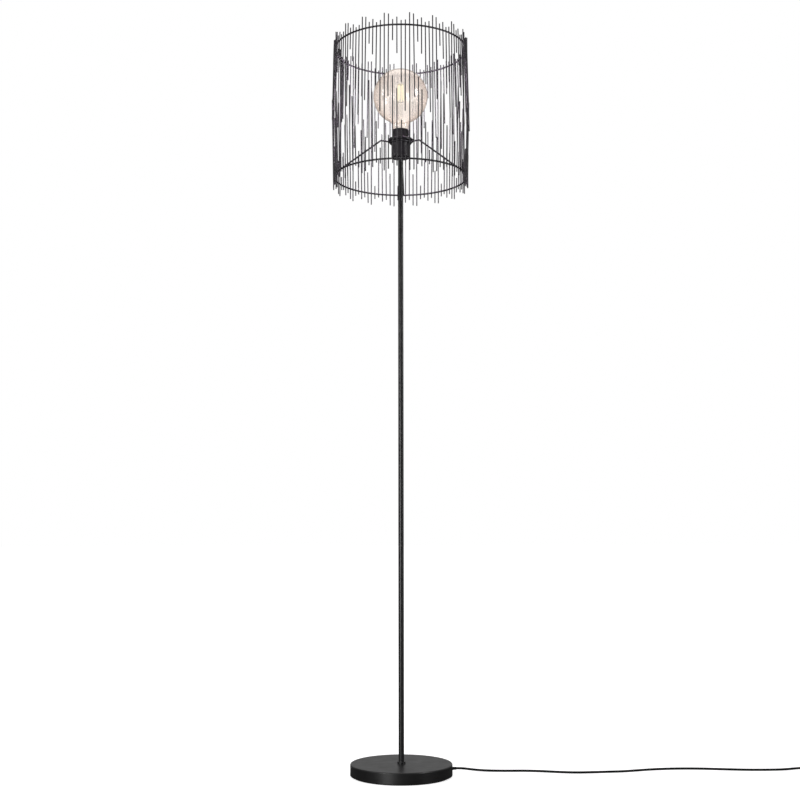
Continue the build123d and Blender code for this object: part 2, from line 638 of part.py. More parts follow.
LINK_ROUTE = [
    (LINK_START, SWITCH_Y, RELIEF_HEIGHT),
    (LINK_START + 13, SWITCH_Y - 0.2, 4.9),
    (LINK_START + 29, SWITCH_Y - 3.4, ON_FLOOR + 0.1),
    (LINK_START + 47, SWITCH_Y - 6.0, ON_FLOOR),
    (LINK_START + 63, SWITCH_Y - 6.0, ON_FLOOR),
]
COIL_OUTER = COIL_INNER + COIL_PITCH * COIL_TURNS_IN
COIL_X = LINK_ROUTE[-1][0] + CORD
COIL_Y = LINK_ROUTE[-1][1] + COIL_OUTER
TAIL_X = COIL_X - CORD
TAIL_Y = COIL_Y + COIL_OUTER
TAIL_TOP = ON_FLOOR + COIL_LAYER
TAIL_ROUTE = [
    (TAIL_X, TAIL_Y, TAIL_TOP),
    (TAIL_X - 12, TAIL_Y, TAIL_TOP),
    (TAIL_X - 28, TAIL_Y, PLUG_THICKNESS / 2),
    (TAIL_X - 42, TAIL_Y, PLUG_THICKNESS / 2),
]


def coil_place(turn):
    """The coil's centre line: in along the floor, up in half a turn, and out again on top."""
    climb_end = COIL_TURNS_IN + 0.5
    u = min(max((turn - COIL_TURNS_IN) / 0.5, 0), 1)
    radius = COIL_INNER + COIL_PITCH * max(COIL_TURNS_IN - turn, turn - climb_end, 0)
    angle = 2 * pi * turn - pi / 2
    height = ON_FLOOR + COIL_LAYER * u * u * (3 - 2 * u)
    return Vector(COIL_X + radius * cos(angle), COIL_Y + radius * sin(angle), height)


def biarc(start, out, end, into):
    """Two arcs from one point and direction to another."""
    gap = end - start
    both = out + into
    spread = 2 * (1 - out.dot(into))
    along = gap.dot(both)
    reach = (sqrt(along * along + spread * gap.dot(gap)) - along) / spread
    middle = (start + end + (out - into) * reach) * 0.5
    first = Edge.make_tangent_arc(start, out, middle)
    return [first, Edge.make_tangent_arc(middle, first.tangent_at(1), end)]


def coil():
    """One unbroken tube of loops, with a straight end at each side."""
    turns = 2 * COIL_TURNS_IN + 0.5
    steps = round(turns * 4)
    places = [coil_place(k * turns / steps) for k in range(steps + 1)]
    ways = []
    for k in range(steps + 1):
        turn = k * turns / steps
        ways.append((coil_place(turn + 0.01) - coil_place(turn - 0.01)).normalized())
    ways[0] = Vector(1, 0, 0)
    ways[-1] = Vector(-1, 0, 0)
    edges = [Edge.make_line(places[0] - ways[0] * CORD, places[0])]
    for k in range(steps):
        edges += biarc(places[k], ways[k], places[k + 1], ways[k + 1])
    edges.append(Edge.make_line(places[-1], places[-1] + ways[-1] * CORD))
    path = Wire(edges)
    solid = sweep(Plane(origin=path @ 0, z_dir=path % 0) * Circle(CORD / 2), path=path)
    samples = [coil_place(turns * k / 1200) for k in range(1201)]
    apart = min(
        (samples[a] - samples[b]).length
        for a in range(len(samples))
        for b in range(a + 120, len(samples))
    )
    print(f"coil: {path.length:.0f} mm in {turns} turns, least gap to itself {apart - CORD:.2f} mm,")
    print(f"  volume {solid.volume / (pi * CORD ** 2 / 4 * path.length):.4f} of section x length")
    return solid


def cord():
    save("cord_free", tube("cord_free", CORD_ROUTE, CORD))
    save("cord_link", tube("cord_link", LINK_ROUTE, CORD))
    save("cord_coil", coil())
    save("cord_tail", tube("cord_tail", TAIL_ROUTE, CORD))


# ---- foot switch ----
def rounded_block(length, width, low, high, corner):
    return Pos(SWITCH_X, SWITCH_Y, low) * extrude(RectangleRounded(length, width, corner), high - low)


def switch_screw_places():
    x = SWITCH_LENGTH / 2 - SWITCH_SCREW_FROM_END
    y = SWITCH_WIDTH / 2 - SWITCH_SCREW_FROM_SIDE
    return [(SWITCH_X + a * x, SWITCH_Y + b * y) for a in (-1, 1) for b in (-1, 1)]


def relief_bar(side, radius, start, end):
    x = SWITCH_X + side * SWITCH_LENGTH / 2
    return rod((x + side * start, SWITCH_Y, RELIEF_HEIGHT), (x + side * end, SWITCH_Y, RELIEF_HEIGHT), radius)


def foot_switch():
    inner_length = SWITCH_LENGTH - 2 * SWITCH_WALL
    inner_width = SWITCH_WIDTH - 2 * SWITCH_WALL
    inner_corner = SWITCH_CORNER - SWITCH_WALL
    lower = rounded_block(SWITCH_LENGTH, SWITCH_WIDTH, 0, SWITCH_SPLIT, SWITCH_CORNER)
    lower -= rounded_block(inner_length, inner_width, SWITCH_WALL, SWITCH_SPLIT + CUT, inner_corner)
    screw_hole = SWITCH_SCREW_RADIUS + SEAT_GAP
    for x, y in switch_screw_places():
        lower += disc(SWITCH_POST_RADIUS, SWITCH_WALL, SWITCH_SPLIT, x, y)
        lower -= disc(screw_hole, -CUT, SWITCH_SPLIT + CUT, x, y)
    upper = rounded_block(SWITCH_LENGTH, SWITCH_WIDTH, SWITCH_SPLIT, SWITCH_HEIGHT, SWITCH_CORNER)
    upper = fillet(upper.edges().group_by(Axis.Z)[-1], SWITCH_EDGE)
    roof = SWITCH_HEIGHT - SWITCH_WALL
    upper -= rounded_block(inner_length, inner_width, SWITCH_SPLIT - CUT, roof, inner_corner)
    for x, y in switch_screw_places():
        upper += disc(SWITCH_POST_RADIUS, SWITCH_SPLIT, roof + SWITCH_WALL / 4, x, y)
        upper -= disc(screw_hole, SWITCH_SPLIT - CUT, SWITCH_SPLIT + SWITCH_SCREW_BITE + CUT, x, y)
    upper -= disc(BUTTON_RADIUS + RUNNING_GAP, roof - CUT, SWITCH_HEIGHT + CUT, SWITCH_X, SWITCH_Y)
    reliefs = []
    for side in (-1, 1):
        hole = relief_bar(side, RELIEF_TIP + SEAT_GAP, -SWITCH_WALL - CUT, CUT)
        lower -= hole
        upper -= hole
        taper = Solid.make_cone(
            RELIEF_ROOT,
            RELIEF_TIP,
            RELIEF_LENGTH,
            Plane(origin=(SWITCH_X + side * SWITCH_LENGTH / 2, SWITCH_Y, RELIEF_HEIGHT), z_dir=(side, 0, 0)),
        )
        inside = relief_bar(side, RELIEF_TIP, -SWITCH_WALL, 0)
        flange = relief_bar(side, RELIEF_FLANGE_RADIUS, -SWITCH_WALL - RELIEF_FLANGE, -SWITCH_WALL)
        reliefs.append(taper + inside + flange)
    save("switch_lower", lower)
    save("switch_upper", upper)
    save("switch_reliefs", *reliefs)
    save("switch_screws", *[
        disc(SWITCH_SCREW_RADIUS, SWITCH_SCREW_SUNK, SWITCH_SPLIT + SWITCH_SCREW_BITE, x, y)
        for x, y in switch_screw_places()
    ])

    flange_top = roof - BUTTON_SEAT
    flange_foot = flange_top - BUTTON_FLANGE
    bridge_top = SWITCH_SPLIT + BRIDGE_ABOVE_SPLIT
    bridge_foot = bridge_top - BRIDGE_THICKNESS
    button = disc(BUTTON_RADIUS, flange_foot, SWITCH_HEIGHT + BUTTON_STANDS, SWITCH_X, SWITCH_Y)
    rim = button.edges().filter_by(GeomType.CIRCLE).group_by(Axis.Z)[-1]
    button = fillet(rim, BUTTON_EDGE)
    button += disc(BUTTON_RADIUS + BUTTON_FLANGE_REACH, flange_foot, flange_top, SWITCH_X, SWITCH_Y)
    button += disc(BUTTON_STEM_RADIUS, bridge_top, flange_foot, SWITCH_X, SWITCH_Y)
    save("switch_button", button)
    save("switch_bridge", Pos(SWITCH_X, SWITCH_Y, bridge_foot + BRIDGE_THICKNESS / 2)
         * Box(BRIDGE_LENGTH, BRIDGE_WIDTH, BRIDGE_THICKNESS))
    contact_top = bridge_foot - BUTTON_TRAVEL - CONTACT_GAP
    save("switch_contacts", *[
        Pos(SWITCH_X + side * SWITCH_CONTACT_OFFSET, SWITCH_Y, (SWITCH_WALL + contact_top) / 2)
        * Box(SWITCH_CONTACT_LENGTH, BRIDGE_WIDTH, contact_top - SWITCH_WALL)
        for side in (-1, 1)
    ])
    height = bridge_foot - SWITCH_WALL - 2 * SPRING_WIRE
    helix = Helix(SPRING_PITCH, height, SPRING_RADIUS)
    spring = sweep(Plane(origin=helix @ 0, z_dir=helix % 0) * Circle(SPRING_WIRE / 2), path=helix)
    save("switch_spring", Pos(SWITCH_X, SWITCH_Y, SWITCH_WALL + SPRING_WIRE) * spring)


# ---- plug ----
def plug():
    """A flat two-pin plug that lies on its side, its pins pointing back along the cord."""
    tip = TAIL_ROUTE[-1][0]
    back = tip - RELIEF_LENGTH
    front = back - PLUG_LENGTH
    middle = PLUG_THICKNESS / 2
    outline = [
        (back, -PLUG_BACK_WIDTH / 2),
        (back - PLUG_SHOULDER, -PLUG_WIDTH / 2),
        (front, -PLUG_WIDTH / 2),
        (front, PLUG_WIDTH / 2),
        (back - PLUG_SHOULDER, PLUG_WIDTH / 2),
        (back, PLUG_BACK_WIDTH / 2),
    ]
    face = make_face(Polyline(*[(x, TAIL_Y + y, 0) for x, y in outline], close=True))
    body = extrude(face, PLUG_THICKNESS)
    body = fillet(body.edges().filter_by(Axis.Z), PLUG_CORNER)
    body = chamfer(body.edges().group_by(Axis.Z)[-1], PLUG_EDGE)
    relief = Solid.make_cone(
        RELIEF_ROOT, RELIEF_TIP, RELIEF_LENGTH, Plane(origin=(back, TAIL_Y, middle), z_dir=(1, 0, 0))
    )
    pins, holes = [], []
    for side in (-1, 1):
        y = TAIL_Y + side * PIN_SPACING / 2
        pins.append(rod((front - PIN_LENGTH, y, middle), (front + PIN_SEAT, y, middle), PIN_RADIUS))
        holes.append(rod((front - CUT, y, middle), (front + PIN_SEAT, y, middle), PIN_RADIUS + SEAT_GAP))
    body += relief
    for hole in holes:
        body -= hole
    save("plug_body", body)
    save("plug_pins", *pins)


os.makedirs("parts", exist_ok=True)
base()
pole()
inner_lead()
lampholder()
spider()
cage()
bulb()
cord()
foot_switch()
plug()
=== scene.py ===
# %% [markdown]
# # A floor lamp with a shade of straight wires
#
# A heavy disc stands on the floor, a thin pole rises from it, and at its top an open cage of
# straight wires goes round a large globe bulb. A black cord runs off to the right, to a foot
# switch, a coil of spare cord and a plug.
#
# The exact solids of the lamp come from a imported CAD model, the frame. This lesson dresses them:
# some solids keep their shape and only get a finish, and others are replaced by a piece with
# finer detail. All lengths are in metres, +Z is up, and the pole's axis is x = y = 0.

# %% The frame
import json
from math import cos, degrees, hypot, pi, radians, sin, sqrt

import bmesh
import bpy
from mathutils import Matrix, Vector


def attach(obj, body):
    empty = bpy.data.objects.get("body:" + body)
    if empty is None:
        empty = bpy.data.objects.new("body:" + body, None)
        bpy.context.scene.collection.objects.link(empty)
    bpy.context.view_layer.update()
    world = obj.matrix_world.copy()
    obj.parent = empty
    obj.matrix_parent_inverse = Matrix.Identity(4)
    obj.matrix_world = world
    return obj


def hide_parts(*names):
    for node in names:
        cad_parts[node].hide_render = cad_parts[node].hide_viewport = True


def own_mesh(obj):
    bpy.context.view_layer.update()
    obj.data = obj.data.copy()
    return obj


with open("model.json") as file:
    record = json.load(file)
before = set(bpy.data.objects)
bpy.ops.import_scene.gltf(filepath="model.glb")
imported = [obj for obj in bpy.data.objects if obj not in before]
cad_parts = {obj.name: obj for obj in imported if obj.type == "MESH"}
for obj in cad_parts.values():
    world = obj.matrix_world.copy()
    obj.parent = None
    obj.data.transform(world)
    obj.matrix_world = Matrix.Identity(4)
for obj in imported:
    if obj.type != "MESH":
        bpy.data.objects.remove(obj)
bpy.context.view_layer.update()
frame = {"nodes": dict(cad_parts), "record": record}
MM = 0.001

# %% [markdown]
# ## The camera
#
# The photographer stood almost three metres away at a third of the lamp's height, and tilted the
# camera up a little, so that the rings of the shade are seen from below and the base from above.
# The lens follows from the focal length in pixels: the picture is 800 pixels wide and the sensor
# 36 mm. The lamp leans a trace to the left in the picture, so the camera is rolled to match.

# %% The camera
IMAGE_SIDE = 800
FOCAL_PIXELS = 1245.8
SENSOR_WIDTH = 36.0
CAMERA_PLACE = Vector((-0.0020, -2.7714, 0.5297))
TILT_UP = 0.1041
ROLL = 0.0012

camera_data = bpy.data.cameras.new("camera")
camera_data.sensor_width = SENSOR_WIDTH
camera_data.lens = SENSOR_WIDTH * FOCAL_PIXELS / IMAGE_SIDE
camera = bpy.data.objects.new("camera", camera_data)
bpy.context.scene.collection.objects.link(camera)
level = Matrix.Rotation(pi / 2 + TILT_UP, 4, "X") @ Matrix.Rotation(-ROLL, 4, "Z")
camera.matrix_world = Matrix.Translation(CAMERA_PLACE) @ level
bpy.context.scene.camera = camera
print(f"lens {camera_data.lens:.2f} mm")

# %% [markdown]
# ## The cord
#
# A round lead with a smooth black sheath leaves the base through a rubber gland, bends down to
# the floor and wanders off to the right. A lead is one line with a thickness, so it is a curve
# with a bevel. A NURBS curve through a few control points bends as a real lead does, because
# its curvature changes slowly; straight runs with rounded corners would look like bent wire. The
# thickness is the radius of the points, times a bevel of one, so the curve's box fits the cord.

# %% A lead as a curve
CORD_WIDTH = 5 * MM
FLOOR_LEVEL = CORD_WIDTH / 2 + 0.05 * MM
RELIEF_LEVEL = 5.6 * MM


def lead(name, route):
    """A round lead along control points."""
    curve = bpy.data.curves.new(name, "CURVE")
    curve.dimensions = "3D"
    curve.bevel_depth = 1.0
    curve.bevel_resolution = 5
    curve.resolution_u = 8
    curve.use_fill_caps = True
    spline = curve.splines.new("NURBS")
    spline.points.add(len(route) - 1)
    for point, place in zip(spline.points, route):
        point.co = (*place, 1)
        point.radius = CORD_WIDTH / 2
    spline.order_u = 3
    spline.use_endpoint_u = True
    piece = bpy.data.objects.new(name, curve)
    bpy.context.scene.collection.objects.link(piece)
    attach(piece, "stand")
    return piece


# %% From the base to the foot switch
GLAND_TURN = radians(17)
GLAND_END_AT, GLAND_HEIGHT = 127 * MM, 9 * MM
gland_end = (GLAND_END_AT * cos(GLAND_TURN), GLAND_END_AT * sin(GLAND_TURN), GLAND_HEIGHT)
cord_to_switch = lead("cord_to_switch", [
    gland_end, (0.135, 0.041, 0.0084), (0.157, 0.0454, 0.0046),
    (0.190, 0.0436, FLOOR_LEVEL), (0.232, 0.0412, FLOOR_LEVEL), (0.272, 0.0426, FLOOR_LEVEL),
    (0.306, 0.0380, FLOOR_LEVEL), (0.342, 0.0276, FLOOR_LEVEL), (0.376, 0.0210, FLOOR_LEVEL),
    (0.414, 0.0234, FLOOR_LEVEL), (0.452, 0.0294, FLOOR_LEVEL), (0.484, 0.0330, FLOOR_LEVEL),
    (0.514, 0.0425, FLOOR_LEVEL), (0.550, 0.0555, FLOOR_LEVEL), (0.600, 0.0650, FLOOR_LEVEL),
    (0.655, 0.0660, FLOOR_LEVEL), (0.712, 0.0570, FLOOR_LEVEL), (0.768, 0.0490, FLOOR_LEVEL),
    (0.818, 0.0500, FLOOR_LEVEL), (0.850, 0.0545, FLOOR_LEVEL), (0.872, 0.0560, 0.0044),
    (0.892, 0.0560, RELIEF_LEVEL),
])
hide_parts("cord_free")

# %% [markdown]
# ## The spare cord
#
# The picture doesn't show the end of the cord, so the rest lies just outside the view: a foot
# switch, then the cord wound into a neat coil of two layers, and the plug. The coil's turns are
# more control points of the same curve, sixteen for each turn. It winds in along the floor,
# climbs by a little more than the cord's thickness in half a turn, and winds out again on top.

# %% From the switch to the plug
SWITCH_X, SWITCH_Y = 0.953, 0.056
LINK_START = 1.014
COIL_INNER, COIL_PITCH, COIL_LAYER, COIL_TURNS_IN = 21 * MM, 6.7 * MM, 5.6 * MM, 2.5
COIL_X, COIL_Y = 1.082, 0.08775
TAIL_Y, TAIL_LEVEL, PLUG_LEVEL = 0.1255, FLOOR_LEVEL + COIL_LAYER, 6.85 * MM
POINTS_A_TURN, CROSSING = 16, 0.5

route = [
    (LINK_START, SWITCH_Y, RELIEF_LEVEL), (1.027, 0.0558, 0.0049), (1.043, 0.0526, 0.00265),
    (1.061, 0.0500, FLOOR_LEVEL), (1.077, 0.0500, FLOOR_LEVEL),
]
turns = 2 * COIL_TURNS_IN + CROSSING
for k in range(round(turns * POINTS_A_TURN) + 1):
    turn = k / POINTS_A_TURN
    climb = min(max((turn - COIL_TURNS_IN) / CROSSING, 0), 1)
    wound = max(COIL_TURNS_IN - turn, turn - COIL_TURNS_IN - CROSSING, 0)
    radius = COIL_INNER + COIL_PITCH * wound
    angle = 2 * pi * turn - pi / 2
    height = FLOOR_LEVEL + COIL_LAYER * climb * climb * (3 - 2 * climb)
    route.append((COIL_X + radius * cos(angle), COIL_Y + radius * sin(angle), height))
route += [
    (1.077, TAIL_Y, TAIL_LEVEL), (1.065, TAIL_Y, TAIL_LEVEL),
    (1.049, TAIL_Y, PLUG_LEVEL), (1.035, TAIL_Y, PLUG_LEVEL),
]
cord_to_plug = lead("cord_to_plug", route)
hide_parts("cord_link", "cord_coil", "cord_tail")
print(len(route), "control points from the switch to the plug")

# %% [markdown]
# ## The studio
#
# A product picture on white has no visible background at all. White comes from the world and
# the floor, and only for the rays that reach the camera straight or through glass, so the white
# itself adds no light to the lamp. For all other rays the world is dimmer: an even light all
# round, and in mirrors bright above and dark towards the camera, because a black lamp is seen
# by what it mirrors. A broad lamp above and one at the left light it softly. Two tall strips
# draw the long highlights on the pole, and two higher ones brighten the edges of the cage.

# %% Node helpers
def node(tree, kind, settings=None, **sockets):
    """A new node; a socket is given a value or another node's output."""
    made = tree.nodes.new(kind)
    for name, value in (settings or {}).items():
        setattr(made, name, value)
    for name, value in sockets.items():
        socket = made.inputs[name.replace("_", " ")]
        if isinstance(value, bpy.types.NodeSocket):
            tree.links.new(value, socket)
        else:
            socket.default_value = value
    return made


def blend(tree, share, first, second):
    """The colour between two colours; a share of 1 is the second. Either may be an output."""
    made = node(tree, "ShaderNodeMix", {"data_type": "RGBA"}, Factor=share)
    for socket, value in zip((s for s in made.inputs if s.type == "RGBA"), (first, second)):
        if isinstance(value, bpy.types.NodeSocket):
            tree.links.new(value, socket)
        else:
            socket.default_value = value
    return next(s for s in made.outputs if s.type == "RGBA")


def maths(tree, kind, *values):
    """One Math node's result."""
    made = tree.nodes.new("ShaderNodeMath")
    made.operation = kind
    for socket, value in zip(made.inputs, values):
        if isinstance(value, bpy.types.NodeSocket):
            tree.links.new(value, socket)
        else:
            socket.default_value = value
    return made.outputs[0]


# %% The white surroundings
AMBIENT = 0.45
MIRRORED_ABOVE = 0.55
MIRRORED_AHEAD = 0.03
MIRROR_SLOPE = 0.5
MIRROR_LEVEL = 0.1

bpy.context.scene.view_settings.view_transform = "Standard"
world = bpy.data.worlds.new("studio")
bpy.context.scene.world = world
world.use_nodes = True
tree = world.node_tree
rays = node(tree, "ShaderNodeLightPath").outputs
generated = node(tree, "ShaderNodeTexCoord").outputs["Generated"]
way = node(tree, "ShaderNodeSeparateXYZ", Vector=generated).outputs
upward = maths(tree, "MULTIPLY", way["Z"], MIRROR_SLOPE)
backward = maths(tree, "MULTIPLY_ADD", way["Y"], MIRROR_SLOPE, MIRROR_LEVEL)
lit = node(tree, "ShaderNodeMapRange", Value=maths(tree, "ADD", upward, backward),
           To_Min=MIRRORED_AHEAD, To_Max=MIRRORED_ABOVE).outputs["Result"]
seen = maths(tree, "MAXIMUM", rays["Is Camera Ray"], rays["Is Transmission Ray"])
glossy = maths(tree, "MULTIPLY", rays["Is Glossy Ray"], lit)
plain = maths(tree, "MULTIPLY", maths(tree, "SUBTRACT", 1.0, rays["Is Glossy Ray"]), AMBIENT)
strength = maths(tree, "MAXIMUM", seen, maths(tree, "ADD", glossy, plain))
tree.links.new(strength, tree.nodes["Background"].inputs["Strength"])
tree.nodes["Background"].inputs["Color"].default_value = (1, 1, 1, 1)

# %% The floor
FLOOR_RADIUS = 40.0
# FLOOR_MIRRORED is the floor's colour in reflections only: painted shade for the lamp's mirrored
# sides.
FLOOR_GREY, FLOOR_MIRRORED, FLOOR_GLOW = 0.8, 0.10, 0.72
shape = bmesh.new()
bmesh.ops.create_circle(shape, cap_ends=True, segments=96, radius=FLOOR_RADIUS)
floor_mesh = bpy.data.meshes.new("floor")
shape.to_mesh(floor_mesh)
shape.free()
floor = bpy.data.objects.new("floor", floor_mesh)
bpy.context.scene.collection.objects.link(floor)
floor_paint = bpy.data.materials.new("floor_paint")
floor_paint.use_nodes = True
tree = floor_paint.node_tree
rays = node(tree, "ShaderNodeLightPath").outputs
seen = maths(tree, "MAXIMUM", rays["Is Camera Ray"], rays["Is Transmission Ray"])
# The floor is painted darker where the lamp mirrors it: painted shade in its reflections that keeps
# the black lamp's sides dark.
floor_and_mirrored_shade = blend(tree, rays["Is Glossy Ray"], (FLOOR_GREY,) * 3 + (1,), (FLOOR_MIRRORED,) * 3 + (1,))
shader = tree.nodes["Principled BSDF"]
tree.links.new(floor_and_mirrored_shade, shader.inputs["Base Color"])
shader.inputs["Roughness"].default_value = 0.9
shader.inputs["Specular IOR Level"].default_value = 0.0
shader.inputs["Emission Color"].default_value = (1, 1, 1, 1)
tree.links.new(maths(tree, "MULTIPLY", seen, FLOOR_GLOW), shader.inputs["Emission Strength"])
floor_mesh.materials.append(floor_paint)


# %% The soft lamps
def softbox(name, place, aim, width, height, power):
    """A rectangular lamp at a place, turned towards a point."""
    light = bpy.data.lights.new(name, "AREA")
    light.shape = "RECTANGLE"
    light.size, light.size_y, light.energy = width, height, power
    lamp = bpy.data.objects.new(name, light)
    bpy.context.scene.collection.objects.link(lamp)
    turn = (Vector(aim) - Vector(place)).to_track_quat("-Z", "Y").to_matrix().to_4x4()
    lamp.matrix_world = Matrix.Translation(place) @ turn
    lamp.visible_camera = False
    return lamp


LAMP_DISTANCE = 2.6
# Each strip: name, degrees to the right of the camera's side, height, width, length, watts.
STRIPS = (
    ("strip_left", -31, 0.65, 0.45, 1.4, 58),
    ("strip_right", 58, 0.70, 0.40, 1.6, 7),
    ("side_left", -76, 1.95, 0.50, 1.1, 11),
    ("side_right", 69, 1.95, 0.50, 1.1, 24),
)


def beside(bearing, height):
    """A place round the lamp; its bearing is in degrees to the right of the camera's side."""
    turn = radians(bearing)
    return (LAMP_DISTANCE * sin(turn), -LAMP_DISTANCE * cos(turn), height)


# The left broad lamp shows in no reflection, and the strips give no diffuse light.
softbox("lamp_above", (0, 0.3, 4.2), (0, 0, 0.8), 3.0, 3.0, 33)
softbox("lamp_left", beside(-31, 0.9), (0, 0, 0.9), 0.9, 2.6, 22).visible_glossy = False
for name, bearing, height, width, tall, power in STRIPS:
    strip = softbox(name, beside(bearing, height), (0, 0, height), width, tall, power)
    strip.visible_diffuse = False
print(len(STRIPS) + 2, "lamps over a floor of", 2 * FLOOR_RADIUS, "m")

# %% [markdown]
# ## Finishes
#
# A finish has three things that a flat colour lacks: the colour varies a little, the gloss
# varies a little, and on all but the glass a bump gives it a grain of the real size. All three
# come from noise that is read in the object's own coordinates, in metres, so the grain keeps
# its size on every piece.

# %% A finish builder
FINISHES = {}
NOISE_LOW, NOISE_HIGH = 0.3, 0.7


def finish(name, dark, light, rough, grain=None, patches=14.0, **sockets):
    """A surface between two colours and two roughnesses, with a grain of (size, depth) metres.

    Patches is how many clouds of colour there are to a metre; other names are shader sockets.
    """
    material = bpy.data.materials.new(name)
    material.use_nodes = True
    tree = material.node_tree
    shader = tree.nodes["Principled BSDF"]
    for socket, value in sockets.items():
        shader.inputs[socket.replace("_", " ")].default_value = value
    place = node(tree, "ShaderNodeTexCoord").outputs["Object"]
    clouds = node(tree, "ShaderNodeTexNoise", Vector=place, Scale=patches, Detail=4.0)
    ramp = node(tree, "ShaderNodeValToRGB", Fac=clouds.outputs["Fac"])
    for stop, colour, where in zip(ramp.color_ramp.elements, (dark, light),
                                   (NOISE_LOW, NOISE_HIGH)):
        stop.color = (*colour, 1)
        stop.position = where
    tree.links.new(ramp.outputs["Color"], shader.inputs["Base Color"])
    speckle = node(tree, "ShaderNodeTexNoise", Vector=place, Scale=patches * 6, Detail=3.0)
    gloss = node(tree, "ShaderNodeMapRange", Value=speckle.outputs["Fac"], From_Min=NOISE_LOW,
                 From_Max=NOISE_HIGH, To_Min=rough[0], To_Max=rough[1])
    tree.links.new(gloss.outputs["Result"], shader.inputs["Roughness"])
    if grain:
        size, depth = grain
        bumps = node(tree, "ShaderNodeTexNoise", Vector=place, Scale=0.5 / size, Detail=2.0)
        raised = node(tree, "ShaderNodeBump", Height=bumps.outputs["Fac"], Distance=depth)
        tree.links.new(raised.outputs["Normal"], shader.inputs["Normal"])
    FINISHES[name] = material
    return material


# %% [markdown]
# ## Painted steel
#
# The base, pole, rings and wires are steel with a satin black powder coat. The powder melts into
# a skin with a fine orange peel, about a third of a millimetre across, and it is never quite even.
# The wires' lighter, faintly violet colour is painted sheen, for the light thin wires catch all
# round; their coat is also duller.

# %% Powder coat
finish("black_steel", (0.0060, 0.0058, 0.0061), (0.0090, 0.0086, 0.0091), (0.32, 0.38),
       grain=(0.35 * MM, 0.01 * MM), patches=6.0, Specular_IOR_Level=0.5)
# black_wire: its colour is painted lighter and violet than black_steel, a painted sheen for the
# light on thin wires.
finish("black_wire", (0.021, 0.018, 0.023), (0.032, 0.028, 0.036), (0.40, 0.50),
       grain=(0.5 * MM, 0.02 * MM), Specular_IOR_Level=0.5)

# %% [markdown]
# ## Bare metals
#
# Under the cover are rough cast iron, a plated steel plate and plated fasteners. Metals take
# their colour from the mirror itself, so Metallic is 1, or less on the iron, whose cast skin is
# partly oxide. The grain tells them apart too: sand-cast iron is coarse and the rest are fine.

# %% Metals
finish("cast_iron", (0.055, 0.055, 0.058), (0.12, 0.118, 0.12), (0.6, 0.85),
       grain=(1.6 * MM, 0.5 * MM), Metallic=0.6)
finish("bare_steel", (0.48, 0.48, 0.49), (0.60, 0.60, 0.61), (0.28, 0.42),
       grain=(0.6 * MM, 0.012 * MM), Metallic=1.0)
finish("zinc_stud", (0.55, 0.53, 0.45), (0.66, 0.63, 0.54), (0.25, 0.4),
       grain=(0.7 * MM, 0.012 * MM), Metallic=1.0)
finish("brass", (0.66, 0.50, 0.24), (0.78, 0.61, 0.32), (0.18, 0.34),
       grain=(0.8 * MM, 0.008 * MM), Metallic=1.0)
finish("cap_metal", (0.60, 0.60, 0.58), (0.70, 0.70, 0.68), (0.18, 0.32),
       grain=(0.8 * MM, 0.008 * MM), Metallic=1.0)
finish("support_wire", (0.45, 0.45, 0.45), (0.56, 0.56, 0.56), (0.2, 0.35),
       grain=(0.5 * MM, 0.005 * MM), Metallic=1.0)

# %% [markdown]
# ## Plastics and rubber
#
# The lampholder is moulded in a satin black thermoplastic with a spark-eroded texture, the
# sheath of the cord is softer and duller, and the foam under the base is dullest and full of
# small cells. The hard plastics still mirror about four percent of the light.

# %% Plastics
finish("holder_plastic", (0.0165, 0.0128, 0.0180), (0.0245, 0.0195, 0.0265), (0.32, 0.44),
       grain=(0.25 * MM, 0.02 * MM), patches=40.0, Specular_IOR_Level=0.45)
finish("core_plastic", (0.70, 0.68, 0.62), (0.78, 0.76, 0.71), (0.35, 0.5),
       grain=(0.3 * MM, 0.01 * MM), patches=60.0)
finish("switch_plastic", (0.012, 0.012, 0.013), (0.020, 0.020, 0.022), (0.30, 0.44),
       grain=(0.3 * MM, 0.02 * MM), patches=40.0, Specular_IOR_Level=0.45)
finish("button_plastic", (0.020, 0.020, 0.021), (0.032, 0.032, 0.034), (0.5, 0.65),
       grain=(0.25 * MM, 0.03 * MM), patches=60.0)
finish("black_insulator", (0.010, 0.010, 0.011), (0.022, 0.021, 0.021), (0.08, 0.2),
       grain=(1.0 * MM, 0.01 * MM), patches=90.0)
finish("cord_rubber", (0.0040, 0.0040, 0.0046), (0.0070, 0.0070, 0.0078), (0.46, 0.58),
       grain=(0.4 * MM, 0.02 * MM), patches=30.0, Specular_IOR_Level=0.2)
finish("foam", (0.006, 0.006, 0.006), (0.014, 0.014, 0.014), (0.85, 0.98),
       grain=(0.8 * MM, 0.6 * MM), patches=60.0, Specular_IOR_Level=0.1)
finish("board", (0.03, 0.12, 0.06), (0.06, 0.20, 0.10), (0.3, 0.5),
       grain=(0.6 * MM, 0.03 * MM), patches=120.0)

# %% [markdown]
# ## Glass and light
#
# The globe is thin glass with a faint amber tint, which gathers at its edge, where one looks
# along the wall: a Layer Weight node, raised to a power, blends in a deeper tint there. Clear
# glass is Transmission, and the tint is its base colour, because light is coloured each time it
# passes the surface. The glass glows very faintly, for the light that it scatters. The sticks
# inside are a pale yellow phosphor that glows; a low strength keeps their colour, where a high
# one would burn out to white. They are black under the glow, so no lamp adds to it.

# %% Glass
EDGE_TINT = (0.68, 0.50, 0.39, 1)
EDGE_POWER = 2.0

